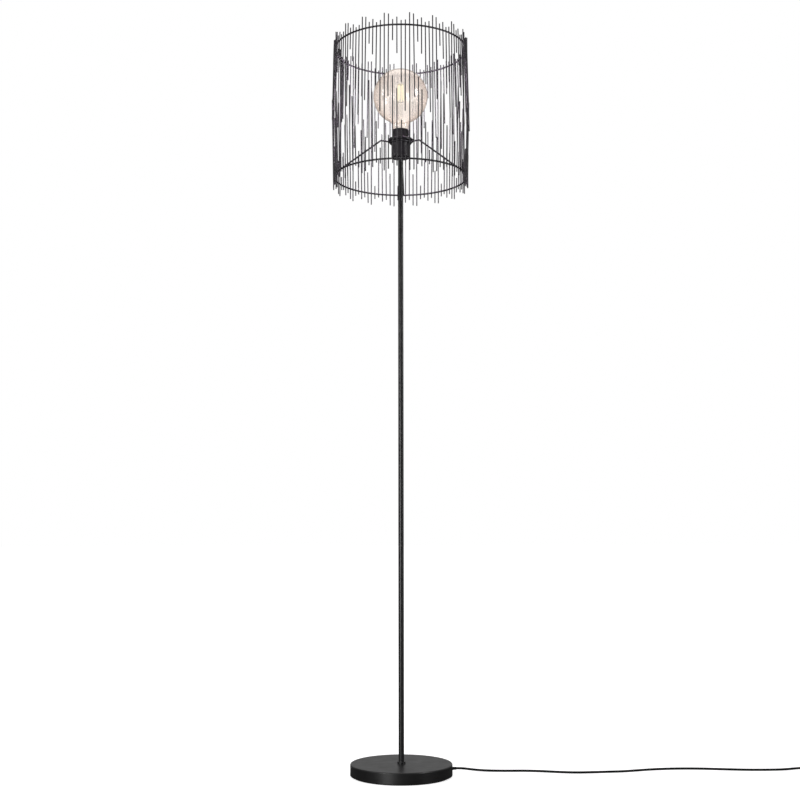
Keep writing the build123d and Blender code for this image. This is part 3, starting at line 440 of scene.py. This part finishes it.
globe_glass = finish("tinted_glass", (0.93, 0.885, 0.85), (0.95, 0.905, 0.87), (0.08, 0.11),
                     patches=30.0, Transmission_Weight=1.0, IOR=1.46,
                     Emission_Color=(1.0, 0.90, 0.80, 1), Emission_Strength=0.03)
tree = globe_glass.node_tree
shader = tree.nodes["Principled BSDF"]
centre_tint = shader.inputs["Base Color"].links[0].from_socket
facing = node(tree, "ShaderNodeLayerWeight", Blend=0.5).outputs["Facing"]
tint = blend(tree, maths(tree, "POWER", facing, EDGE_POWER), centre_tint, EDGE_TINT)
tree.links.new(tint, shader.inputs["Base Color"])
finish("clear_glass", (0.93, 0.93, 0.90), (0.97, 0.97, 0.95), (0.0, 0.04),
       patches=60.0, Transmission_Weight=1.0, IOR=1.5)
phosphor = finish("filament", (1.0, 0.88, 0.60), (1.0, 0.94, 0.72), (0.5, 0.7), patches=400.0,
                  grain=(0.5 * MM, 0.05 * MM), Specular_IOR_Level=0.0, Emission_Strength=1.25)
tree = phosphor.node_tree
shader = tree.nodes["Principled BSDF"]
colour = shader.inputs["Base Color"].links[0]
tree.links.new(colour.from_socket, shader.inputs["Emission Color"])
tree.links.remove(colour)
shader.inputs["Base Color"].default_value = (0, 0, 0, 1)
print(len(FINISHES), "finishes")

# %% [markdown]
# ## Dressing the solids
#
# Each solid of the frame belongs to a slot, and each slot has a finish of the same name, so one
# loop paints all of them. The solids that are rebuilt below are hidden later by their new piece.

# %% Paint every solid
for subpart in frame["record"]["subparts"]:
    solid = frame["nodes"][subpart["node"]]
    solid.data.materials.clear()
    solid.data.materials.append(FINISHES[subpart["material_slot"]])
for cord in (cord_to_switch, cord_to_plug):
    cord.data.materials.append(FINISHES["cord_rubber"])
print(len(frame["nodes"]), "solids painted")

# %% [markdown]
# ## Turned pieces
#
# Most of a lamp is turned on a lathe or moulded round. A turned piece is one outline, half of
# its section, spun about an axis. The spin merges its last step with its first, doubles on the
# axis are merged into a pole, and the normals are set to point outwards.

# %% Lathe and piece
UP = Vector((0, 0, 1))


def lathe(outline, steps=96):
    """A solid of revolution about the pole's axis, from a closed (radius, height) outline."""
    shape = bmesh.new()
    corners = [shape.verts.new((r, 0, z)) for r, z in outline]
    rims = [shape.edges.new(pair) for pair in zip(corners, corners[1:] + corners[:1])]
    bmesh.ops.spin(shape, geom=corners + rims, cent=(0, 0, 0), axis=UP, angle=2 * pi,
                   steps=steps, use_merge=True)
    bmesh.ops.remove_doubles(shape, verts=shape.verts, dist=1e-6)
    bmesh.ops.recalc_face_normals(shape, faces=shape.faces)
    return shape


def piece(name, shape, slot, *nodes, body="stand", crease=32):
    """A finished shape as an object that rides on a body and may stand for solids."""
    mesh = bpy.data.meshes.new(name)
    shape.to_mesh(mesh)
    shape.free()
    mesh.materials.append(FINISHES[slot])
    mesh.shade_smooth()
    mesh.set_sharp_from_angle(angle=radians(crease))
    made = bpy.data.objects.new(name, mesh)
    bpy.context.scene.collection.objects.link(made)
    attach(made, body)
    if nodes:
        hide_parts(*nodes)
    print(f"{name}: {len(mesh.polygons)} faces")
    return made


def everything(shape):
    """All corners, edges and faces of a shape."""
    return list(shape.verts) + list(shape.edges) + list(shape.faces)


def joined(*shapes):
    """Several closed shapes as one."""
    whole = bmesh.new()
    for shape in shapes:
        part = bpy.data.meshes.new("part")
        shape.to_mesh(part)
        shape.free()
        whole.from_mesh(part)
        bpy.data.meshes.remove(part)
    return whole


def along(shape, place, way):
    """Moves a shape turned about z so that its axis starts at a place and runs along a way."""
    turn = UP.rotation_difference(Vector(way)).to_matrix().to_4x4()
    bmesh.ops.transform(shape, matrix=Matrix.Translation(place) @ turn, verts=shape.verts)
    return shape


# %% [markdown]
# ## Screw threads
#
# The sleeve of the lampholder and the cap of the bulb have a coarse round thread each. A
# thread is a wave that climbs as it turns: one pitch of the wave is spun with a rise at every
# step, so that the top of each turn meets the foot of the next. Two cuts give it flat ends.

# %% A thread
def thread(crest, depth, pitch, low, high, steps=64, waves=8):
    """A wall with a round thread between two heights, open at both ends."""
    shape = bmesh.new()
    turns = int((high - low) / pitch) + 3
    start = low - 1.5 * pitch
    corners = []
    for k in range(waves + 1):
        radius = crest - depth * (0.5 - 0.5 * cos(2 * pi * k / waves))
        corners.append(shape.verts.new((radius, 0, start + pitch * k / waves)))
    wave = [shape.edges.new(pair) for pair in zip(corners, corners[1:])]
    bmesh.ops.spin(shape, geom=corners + wave, cent=(0, 0, 0), axis=UP,
                   dvec=(0, 0, pitch / steps), angle=2 * pi * turns, steps=steps * turns)
    bmesh.ops.remove_doubles(shape, verts=shape.verts, dist=0.02 * MM)
    for height, way in ((low, UP), (high, -UP)):
        bmesh.ops.bisect_plane(shape, geom=everything(shape), dist=1e-6,
                               plane_co=(0, 0, height), plane_no=way, clear_inner=True)
    return shape


def rim_at(shape, height):
    """The open edges at a height."""
    return [e for e in shape.edges
            if e.is_boundary and all(abs(v.co.z - height) < 1e-5 for v in e.verts)]


def draw_rim(shape, rim, *rings):
    """Extrudes an open rim through (radius, height) rings, one after another."""
    for radius, height in rings:
        grown = bmesh.ops.extrude_edge_only(shape, edges=rim)["geom"]
        for v in grown:
            if isinstance(v, bmesh.types.BMVert):
                v.co.xy = v.co.xy.normalized() * radius
                v.co.z = height
        rim = [e for e in grown if isinstance(e, bmesh.types.BMEdge) and e.is_boundary]


def closed_up(shape):
    """Merges the corners where two drawn rims meet, and turns the faces outwards."""
    bmesh.ops.remove_doubles(shape, verts=shape.verts, dist=0.005 * MM)
    bmesh.ops.recalc_face_normals(shape, faces=shape.faces)
    return shape


# %% [markdown]
# ## The lampholder
#
# The black lampholder has a smooth lower body with a rounded foot, a threaded sleeve, and a broad
# ring that screws down on the shade's hub. The body is a plain turned outline with a fine groove
# where its two mouldings meet.

# %% Lampholder body
HOLDER_RADIUS = 21 * MM
SKIRT_RADIUS = 18.95 * MM
POLE_TOP = 1374.5 * MM
HOLDER_TOP = 1408.5 * MM
HUB_TOP = 1410.5 * MM
SKIRT_TOP = 1440 * MM
SKIRT_FOOT = 1396 * MM


def arc(x, z, radius, start, end, steps=8):
    """Points of a round corner, angles in degrees from outwards to upwards."""
    turns = [radians(start + (end - start) * k / steps) for k in range(steps + 1)]
    return [(x + radius * cos(a), z + radius * sin(a)) for a in turns]


bore = SKIRT_RADIUS + 0.05 * MM
narrow = bore - 1.5 * MM
stud_hole, floor_top = 5 * MM, POLE_TOP + 4 * MM
foot, edge = 1.5 * MM, 0.5 * MM
seam, seam_half, seam_depth = POLE_TOP + 7.5 * MM, 0.35 * MM, 0.4 * MM
ledge = SKIRT_FOOT - 2 * MM
body_outline = [
    (stud_hole, floor_top), (stud_hole, POLE_TOP),
    *arc(HOLDER_RADIUS - foot, POLE_TOP + foot, foot, -90, 0),
    (HOLDER_RADIUS, seam - seam_half), (HOLDER_RADIUS - seam_depth, seam),
    (HOLDER_RADIUS, seam + seam_half),
    (HOLDER_RADIUS, HOLDER_TOP - edge), (HOLDER_RADIUS - edge, HOLDER_TOP),
    (bore, HOLDER_TOP), (bore, ledge), (narrow, ledge), (narrow, floor_top),
]
piece("lampholder_body", lathe(body_outline), "holder_plastic", "holder_cap")

# %% The threaded sleeve
SLEEVE_THREAD_FOOT, SLEEVE_THREAD_TOP = 1409 * MM, SKIRT_TOP - 1.2 * MM
THREAD_DEPTH, THREAD_PITCH, SKIRT_WALL = 0.9 * MM, 2.8 * MM, 1.7 * MM
root = SKIRT_RADIUS - THREAD_DEPTH
inside = SKIRT_RADIUS - SKIRT_WALL
sleeve = thread(SKIRT_RADIUS, THREAD_DEPTH, THREAD_PITCH, SLEEVE_THREAD_FOOT, SLEEVE_THREAD_TOP)
draw_rim(sleeve, rim_at(sleeve, SLEEVE_THREAD_TOP),
         (SKIRT_RADIUS - 0.5 * MM, SKIRT_TOP - 0.4 * MM), (root, SKIRT_TOP),
         (inside, SKIRT_TOP), (inside, SKIRT_FOOT), (root, SKIRT_FOOT))
draw_rim(sleeve, rim_at(sleeve, SLEEVE_THREAD_FOOT),
         (root, SLEEVE_THREAD_FOOT - 0.3 * MM), (root, SKIRT_FOOT))
piece("lampholder_sleeve", closed_up(sleeve), "holder_plastic", "holder_skirt", crease=50)

# %% [markdown]
# ## The clamping ring
#
# The ring is turned by hand, so its edge has fine upright ribs. They are made from the turned
# ring itself: every second face of its outer wall is inset a little and pushed inwards, which
# leaves the ribs standing at the full width.

# %% The clamping ring
RING_OUTER = 29 * MM
ring_top = HUB_TOP + 7.5 * MM
ring_floor = HUB_TOP + 3.0 * MM
ring = lathe([
    (bore, HUB_TOP), (24.5 * MM, HUB_TOP), (RING_OUTER, HUB_TOP + 2.5 * MM),
    (RING_OUTER, ring_top - 0.8 * MM), (RING_OUTER - 0.8 * MM, ring_top),
    (26.8 * MM, ring_top), (25.8 * MM, ring_floor), (bore + 2.2 * MM, ring_floor),
    (bore + 2.2 * MM, ring_top - 1 * MM), (bore, ring_top - 1 * MM),
], steps=144)
wall = [f for f in ring.faces
        if all(abs(hypot(v.co.x, v.co.y) - RING_OUTER) < 1e-6 for v in f.verts)]
wall.sort(key=lambda f: Vector((1, 0)).angle_signed(f.calc_center_median().xy))
RIB_SIDE, RIB_DEPTH = 0.12 * MM, 0.45 * MM
pushed = bmesh.ops.inset_individual(ring, faces=wall[::2], thickness=RIB_SIDE, depth=-RIB_DEPTH)
print(len(wall) // 2, "ribs,", len(pushed["faces"]), "new faces")
piece("clamping_ring", ring, "holder_plastic", "shade_ring")

# %% [markdown]
# ## Welded crossings
#
# Each wire of the cage is resistance-welded to a ring, which leaves a small flattened bead where
# the two touch, softened by the paint. There are over two hundred of them, so one bead is a
# twenty-sided ball, squeezed, and set at each crossing. The full wires stand at slightly uneven
# places, as they do in the picture, with five places for shorter wires between two of them.

# %% Where the wires stand
FULL_WIRE_ANGLES = [
    7.5, 27.5, 48.0, 67.2, 86.3, 105.4, 124.5, 144.1, 165.3,
    185.9, 207.2, 227.3, 247.2, 267.1, 287.0, 306.9, 326.7, 346.6,
]
RING_RADIUS, RING_WIRE = 150 * MM, 4.0 * MM
HUB_THICK, HUB_ABOVE_RING, RINGS_APART = 1.9 * MM, 79.9 * MM, 300 * MM
BOTTOM_RING = HUB_TOP - HUB_THICK - HUB_ABOVE_RING
TOP_RING = BOTTOM_RING + RINGS_APART
PLACES = 6
angles = []
for here, after in zip(FULL_WIRE_ANGLES, FULL_WIRE_ANGLES[1:] + [FULL_WIRE_ANGLES[0] + 360]):
    angles += [here + (after - here) * k / PLACES for k in range(PLACES)]
print(len(angles), "wires stand round each ring")

# %% The beads
BEAD_SINK = 0.15 * MM
BEAD_AT = RING_RADIUS + RING_WIRE / 2 - BEAD_SINK
beads = bmesh.new()
for height in (TOP_RING, BOTTOM_RING):
    for angle in angles:
        turn = Matrix.Rotation(radians(angle), 4, "Z") @ Matrix.Translation((0, -BEAD_AT, height))
        squeeze = Matrix.Diagonal((1.7 * MM, 1.0 * MM, 1.75 * MM, 1))
        bmesh.ops.create_icosphere(beads, subdivisions=1, radius=1.0, matrix=turn @ squeeze)
piece("weld_beads", beads, "black_wire", crease=180)

# %% [markdown]
# ## The bulb
#
# The bulb is a globe of 125 mm with a screw cap, a glass stem and six glowing sticks round a
# mast. Glass looks right only with a real wall, so the cavity is a second turned shape, a
# millimetre inside the first, with its faces reversed. The neck flows into the globe through a
# fillet. A small lamp in the middle gives the light of the sticks, and isn't seen itself.

# %% The glass
BULB_LENGTH, CAP_HEIGHT, PIP_SINK = 177 * MM, 27 * MM, 3.4 * MM
PIP_FOOT = HOLDER_TOP - PIP_SINK
CAP_RIM = PIP_FOOT + CAP_HEIGHT
GLOBE_RADIUS = 62.5 * MM
GLOBE_CENTRE = PIP_FOOT + BULB_LENGTH - GLOBE_RADIUS
NECK_RADIUS, NECK_FILLET, NECK_FOOT_RADIUS = 19.2 * MM, 16 * MM, 12.65 * MM


def globe_line(inset):
    """Half the bulb's section from its joint in the cap to its top, set in by the wall."""
    globe, neck, flare = GLOBE_RADIUS - inset, NECK_RADIUS - inset, NECK_FILLET + inset
    middle = neck + flare
    flare_height = GLOBE_CENTRE - sqrt((globe + flare) ** 2 - middle ** 2)
    share = globe / (globe + flare)
    joint = (share * middle, GLOBE_CENTRE - share * (GLOBE_CENTRE - flare_height))
    from_flare = Vector((joint[0] - middle, joint[1] - flare_height))
    from_globe = Vector((joint[0], joint[1] - GLOBE_CENTRE))
    swing = 180 - degrees(from_flare.angle(Vector((-1, 0))))
    rise = degrees(from_globe.angle(Vector((1, 0))))
    foot = NECK_FOOT_RADIUS - inset
    line = [(foot, CAP_RIM - 1.2 * MM + inset), (foot, CAP_RIM + 1 * MM)]
    line += [(foot + (neck - foot) * t * t * (3 - 2 * t), CAP_RIM + (1 + 13 * t) * MM)
             for t in (k / 10 for k in range(1, 11))]
    line += arc(middle, flare_height, flare, 180, swing, 12)
    line += arc(0, GLOBE_CENTRE, globe, -rise, 90, 48)[1:]
    return line


WALL = 1 * MM
outer, inner = globe_line(0), globe_line(WALL)
outer[-1], inner[-1] = (0, outer[-1][1]), (0, inner[-1][1])
glass_outline = [(0, CAP_RIM - 1.2 * MM)] + outer
cavity = lathe([(0, CAP_RIM - 0.2 * MM)] + inner)
bmesh.ops.reverse_faces(cavity, faces=cavity.faces)
glass = joined(lathe(glass_outline), cavity)
globe = piece("globe", glass, "tinted_glass", "bulb_glass", body="bulb", crease=60)
globe.visible_shadow = False

# %% The glow
GLOW_POWER, GLOW_RADIUS, GLOW_COLOUR, GLOW_DROP = 12, 0.012, (1.0, 0.93, 0.95), 5 * MM
glow = bpy.data.lights.new("glow", "POINT")
glow.energy, glow.shadow_soft_size, glow.color = GLOW_POWER, GLOW_RADIUS, GLOW_COLOUR
glow_lamp = bpy.data.objects.new("glow", glow)
glow_lamp.location = (0, 0, GLOBE_CENTRE - GLOW_DROP)
glow_lamp.visible_camera = False
glow_lamp.visible_transmission = False
glow_lamp.visible_glossy = False
bpy.context.scene.collection.objects.link(glow_lamp)

# %% The screw cap
CAP_RADIUS, CAP_THREAD_DEPTH, CAP_PITCH = 13.1 * MM, 0.75 * MM, 3.629 * MM
cap_foot = CAP_RIM - 22 * MM
thread_foot, thread_top = cap_foot + 3.0 * MM, CAP_RIM - 4.5 * MM
cap = thread(CAP_RADIUS, CAP_THREAD_DEPTH, CAP_PITCH, thread_foot, thread_top, waves=10)
band, skin = CAP_RADIUS - 0.35 * MM, CAP_RADIUS - 0.4 * MM
bore_radius, end_radius = 11.85 * MM, 10.5 * MM
draw_rim(cap, rim_at(cap, thread_top),
         (band, thread_top + 0.5 * MM), (band, CAP_RIM - 1 * MM),
         (CAP_RADIUS, CAP_RIM - 0.3 * MM), (CAP_RADIUS, CAP_RIM),
         (skin, CAP_RIM), (skin, CAP_RIM - 2.5 * MM),
         (bore_radius, CAP_RIM - 4.5 * MM), (bore_radius, cap_foot + 2.4 * MM),
         (end_radius, cap_foot + 0.4 * MM), (end_radius, cap_foot))
draw_rim(cap, rim_at(cap, thread_foot), (12.3 * MM, cap_foot + 2 * MM), (end_radius, cap_foot))
piece("screw_cap", closed_up(cap), "cap_metal", "bulb_cap", body="bulb", crease=50)

# %% [markdown]
# ## Strain reliefs
#
# Where the cord enters a housing, a tapered rubber sleeve keeps it from kinking. It has a row of
# rings with slots between them, so that it bends evenly. Each is one outline, lathed about z and
# then laid along the cord.

# %% A ribbed relief
def relief(length, root, tip, rings, start=0):
    """The outside of a tapered sleeve along +z with rounded rings, as (radius, height) points."""
    low_share, ringed_share, ring_share = 0.12, 0.8, 0.62
    slot, shoulder, round_off = 0.55 * MM, 0.12 * MM, 0.15 * MM
    line = [(root, 0)]
    for k in range(rings):
        low = length * (low_share + ringed_share * k / rings)
        high = length * (low_share + ringed_share * (k + ring_share) / rings)
        wide = root + (tip - root) * (low + high) / 2 / length
        line += [(wide - slot, low), (wide - shoulder, low + round_off), (wide, (low + high) / 2),
                 (wide - shoulder, high - round_off), (wide - slot, high)]
    line += [(tip - 0.25 * MM, length - 0.4 * MM), (tip - 0.4 * MM, length)]
    return [(r, z + start) for r, z in line]


RELIEF_LENGTH, RELIEF_ROOT, RELIEF_TIP = 22 * MM, 4.2 * MM, 3.1 * MM
ROUND_STEPS = 40

# %% The gland
GLAND_START_AT = 98 * MM
GLAND_PLUG = [  # what sits in the cover's wall: a taper inside, two flanges and a groove
    (0, 0), (3.1, 0), (3.8, 9.3), (4.8, 9.3), (4.8, 11.3),
    (4.0, 11.3), (4.0, 13.2), (4.8, 13.2), (4.8, 14.2), (4.4, 14.6),
]
GLAND_RIBBED_FROM, GLAND_RIBBED_LENGTH, GLAND_LENGTH = 14.6 * MM, 14.4 * MM, 29 * MM
gland_way = (cos(GLAND_TURN), sin(GLAND_TURN), 0)
gland_place = (GLAND_START_AT * gland_way[0], GLAND_START_AT * gland_way[1], GLAND_HEIGHT)
gland_outline = [(r * MM, z * MM) for r, z in GLAND_PLUG]
gland_outline += relief(GLAND_RIBBED_LENGTH, 3.8 * MM, RELIEF_TIP, 5, GLAND_RIBBED_FROM)
gland_outline += [(0, GLAND_LENGTH)]
gland = along(lathe(gland_outline, steps=ROUND_STEPS), gland_place, gland_way)
gland_piece = piece("gland", gland, "cord_rubber", "cord_gland")

# %% [markdown]
# ## The foot switch
#
# The switch housing keeps the shape of its solids. Its reliefs are ribbed like the gland, and its
# round button has a rounded edge and concentric ridges, so that a shoe doesn't slip.

# %% Switch reliefs
SWITCH_HALF = 39 * MM
FLANGE, FLANGE_FROM, FLANGE_TO = 3.2 * MM, -4 * MM, -2 * MM
relief_outline = [(0, FLANGE_FROM), (FLANGE, FLANGE_FROM), (FLANGE, FLANGE_TO),
                  (RELIEF_TIP, FLANGE_TO), (RELIEF_TIP, 0)]
relief_outline += relief(RELIEF_LENGTH, RELIEF_ROOT, RELIEF_TIP, 7) + [(0, RELIEF_LENGTH)]
for side, name in ((-1, "switch_relief_in"), (1, "switch_relief_out")):
    shape = lathe(relief_outline, steps=ROUND_STEPS)
    along(shape, (SWITCH_X + side * SWITCH_HALF, SWITCH_Y, RELIEF_LEVEL), (side, 0, 0))
    piece(name, shape, "cord_rubber", "switch_reliefs")

# %% The button
BUTTON_TOP, BUTTON_RADIUS, BUTTON_ROUND = 27.5 * MM, 10 * MM, 1.5 * MM
STEM_FOOT, STEM_RADIUS, RIM_RADIUS = 13.5 * MM, 3 * MM, 11.4 * MM
flange_top = 21.9 * MM
flange_foot = 20.3 * MM
valley = BUTTON_TOP - 0.5 * MM
button_line = [(0, STEM_FOOT), (STEM_RADIUS, STEM_FOOT), (STEM_RADIUS, flange_foot),
               (RIM_RADIUS, flange_foot), (RIM_RADIUS, flange_top), (BUTTON_RADIUS, flange_top),
               *arc(BUTTON_RADIUS - BUTTON_ROUND, BUTTON_TOP - BUTTON_ROUND, BUTTON_ROUND, 0, 90)]
for r in (7.2, 5.6, 4.0, 2.4):
    button_line += [(r * MM, BUTTON_TOP), ((r - 0.2) * MM, valley),
                    ((r - 0.6) * MM, valley), ((r - 0.8) * MM, BUTTON_TOP)]
button = lathe(button_line + [(0, BUTTON_TOP)], steps=72)
bmesh.ops.translate(button, verts=button.verts, vec=(SWITCH_X, SWITCH_Y, 0))
button_piece = piece("ridged_button", button, "button_plastic", "switch_button",
                     body="switch_button")

# %% [markdown]
# ## The spring under the contact bridge
#
# A compression spring is a small circle spun with a rise. The real spring shortens when the button
# goes down; this one keeps its rest length, in a mesh of its own.

# %% The spring
SPRING_FOOT, SPRING_HIGH, SPRING_RADIUS, SPRING_WIRE = 2.3 * MM, 10.3 * MM, 3.6 * MM, 0.3 * MM
SPRING_TURNS, SPRING_STEPS, BUTTON_TRAVEL = 4.4, 106, 3 * MM
spring = bmesh.new()
spring_start = Matrix.Translation((SPRING_RADIUS, 0, SPRING_FOOT + SPRING_WIRE))
bmesh.ops.create_circle(spring, segments=10, radius=SPRING_WIRE,
                        matrix=spring_start @ Matrix.Rotation(pi / 2, 4, "X"))
rise_a_step = (SPRING_HIGH - 2 * SPRING_WIRE) / SPRING_STEPS
bmesh.ops.spin(spring, geom=list(spring.verts) + list(spring.edges), cent=(0, 0, 0), axis=UP,
               dvec=(0, 0, rise_a_step), angle=2 * pi * SPRING_TURNS, steps=SPRING_STEPS)
bmesh.ops.holes_fill(spring, edges=[e for e in spring.edges if e.is_boundary], sides=0)
bmesh.ops.recalc_face_normals(spring, faces=spring.faces)
bmesh.ops.translate(spring, verts=spring.verts, vec=(SWITCH_X, SWITCH_Y, 0))
spring_piece = piece("coil_spring", spring, "bare_steel", "switch_spring")
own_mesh(spring_piece)

# %% [markdown]
# ## The plug
#
# The plug is moulded in one go round its pins: a flat grip that narrows towards the cord, with
# grooves for the fingers, and a ribbed relief. The grip starts as a box. Cuts give it the rows of
# corners that are moved and the strips that are pressed in, and its edges are rounded in between.

# %% The grip
PLUG_FRONT, PLUG_SHOULDER, PLUG_BACK = 977 * MM, 1001 * MM, 1013 * MM
PLUG_WIDE, PLUG_NARROW, PLUG_HIGH = 35.3 * MM, 16 * MM, 13.7 * MM
GROOVE_HALF_LENGTH, GROOVE_WIDTH = 10 * MM, 1.5 * MM
FIRST_GROOVE, GROOVE_PITCH, GROOVES = 7 * MM, 3 * MM, 5
GROOVE_SIDE, GROOVE_DEPTH = 0.3 * MM, 0.7 * MM
grooves = [PLUG_FRONT + FIRST_GROOVE + GROOVE_PITCH * k for k in range(GROOVES)]
grip = bmesh.new()
place = Matrix.Translation(((PLUG_FRONT + PLUG_BACK) / 2, TAIL_Y, PLUG_LEVEL))
size = Matrix.Diagonal((PLUG_BACK - PLUG_FRONT, PLUG_WIDE, PLUG_HIGH, 1))
bmesh.ops.create_cube(grip, size=1.0, matrix=place @ size)
cuts = [((x, 0, 0), (1, 0, 0)) for g in grooves for x in (g, g + GROOVE_WIDTH)]
cuts += [((PLUG_SHOULDER, 0, 0), (1, 0, 0))]
cuts += [((0, TAIL_Y + side * GROOVE_HALF_LENGTH, 0), (0, 1, 0)) for side in (-1, 1)]
for place, way in cuts:
    bmesh.ops.bisect_plane(grip, geom=everything(grip), dist=1e-6, plane_co=place, plane_no=way)
for v in grip.verts:
    if v.co.x > PLUG_BACK - 1e-6:
        v.co.y = TAIL_Y + (v.co.y - TAIL_Y) * PLUG_NARROW / PLUG_WIDE


def rounded(shape, edges, radius, segments):
    """Rounds some edges."""
    bmesh.ops.bevel(shape, geom=edges, offset=radius, offset_type="OFFSET", affect="EDGES",
                    segments=segments, profile=0.5, material=-1)


def upright(e):
    """True for an edge that runs up."""
    return abs(e.verts[0].co.z - e.verts[1].co.z) > PLUG_HIGH / 2


def in_a_groove(f):
    """True for a face on top of the grip where a groove is pressed in."""
    x, y, _ = f.calc_center_median()
    between = any(0 < x - g < GROOVE_WIDTH for g in grooves)
    return f.normal.z > 0.9 and abs(y - TAIL_Y) < GROOVE_HALF_LENGTH and between


corners = [e for e in grip.edges if upright(e) and e.calc_face_angle() > 0.3]
rounded(grip, corners, 3 * MM, 5)
borders = [e for e in grip.edges if not upright(e) and e.calc_face_angle() > 1.2]
rounded(grip, borders, 1 * MM, 3)
pressed = [f for f in grip.faces if in_a_groove(f)]
bmesh.ops.inset_individual(grip, faces=pressed, thickness=GROOVE_SIDE, depth=-GROOVE_DEPTH)
bmesh.ops.recalc_face_normals(grip, faces=grip.faces)
plug_grip = piece("plug_grip", grip, "switch_plastic", "plug_body")

# %% The plug's relief
plug_outline = [(0, 0), *relief(RELIEF_LENGTH, RELIEF_ROOT, RELIEF_TIP, 7), (0, RELIEF_LENGTH)]
shape = along(lathe(plug_outline, steps=ROUND_STEPS), (PLUG_BACK, TAIL_Y, PLUG_LEVEL), (1, 0, 0))
plug_relief = piece("plug_relief", shape, "switch_plastic", "plug_body")

# %% The pins
PIN_RADIUS, PIN_LENGTH, PIN_SPACING, PIN_SLEEVE = 2 * MM, 19 * MM, 19 * MM, 10 * MM
pin_core, tip, inwards = 1.6 * MM, 1.2 * MM, -1 * MM
pin_line = [(0, inwards), (pin_core, inwards), (pin_core, PIN_SLEEVE), (PIN_RADIUS, PIN_SLEEVE),
            *arc(PIN_RADIUS - tip, PIN_LENGTH - tip, tip, 0, 90), (0, PIN_LENGTH)]
around, bevel = PIN_RADIUS - 0.05 * MM, 0.3 * MM
sleeve_end = PIN_SLEEVE - 0.05 * MM
sleeve_line = [(pin_core, inwards), (around, inwards), (around, PIN_SLEEVE - bevel),
               (PIN_RADIUS - bevel, sleeve_end), (pin_core, sleeve_end)]
for name, line, slot in (("pins", pin_line, "brass"),
                         ("pin_sleeves", sleeve_line, "switch_plastic")):
    places = [(PLUG_FRONT, TAIL_Y + side * PIN_SPACING / 2, PLUG_LEVEL) for side in (-1, 1)]
    pair = [along(lathe(line, steps=32), place, (-1, 0, 0)) for place in places]
    piece(name, joined(*pair), slot, "plug_pins")

# %% [markdown]
# ## The tie round the coil
#
# Spare cord is sold wound up, with a soft strap round the bundle. The strap is a flat ring cut from
# an outline and a smaller one inside it, bridged, and drawn out to its width.

# %% The tie
TIE_NEAR, TIE_FAR, TIE_TOP, TIE_CORNER = 18.0 * MM, 35.7 * MM, 11.3 * MM, 2.8 * MM
TIE_WIDTH, TIE_SKIN = 6 * MM, 0.5 * MM
tie = bmesh.new()
loops = []
for skin in (0, TIE_SKIN):
    corner = TIE_CORNER - skin
    far, near, top = TIE_FAR - TIE_CORNER, TIE_NEAR + TIE_CORNER, TIE_TOP - TIE_CORNER
    line = (arc(far, TIE_CORNER, corner, -90, 0) + arc(far, top, corner, 0, 90)
            + arc(near, top, corner, 90, 180) + arc(near, TIE_CORNER, corner, 180, 270))
    corners = [tie.verts.new((COIL_X - x, COIL_Y - TIE_WIDTH / 2, z)) for x, z in line]
    loops += [tie.edges.new(pair) for pair in zip(corners, corners[1:] + corners[:1])]
flat = bmesh.ops.bridge_loops(tie, edges=loops)["faces"]
drawn = bmesh.ops.extrude_face_region(tie, geom=flat)["geom"]
moved = [v for v in drawn if isinstance(v, bmesh.types.BMVert)]
bmesh.ops.translate(tie, vec=(0, TIE_WIDTH, 0), verts=moved)
bmesh.ops.recalc_face_normals(tie, faces=tie.faces)
tie_piece = piece("coil_tie", tie, "cord_rubber")
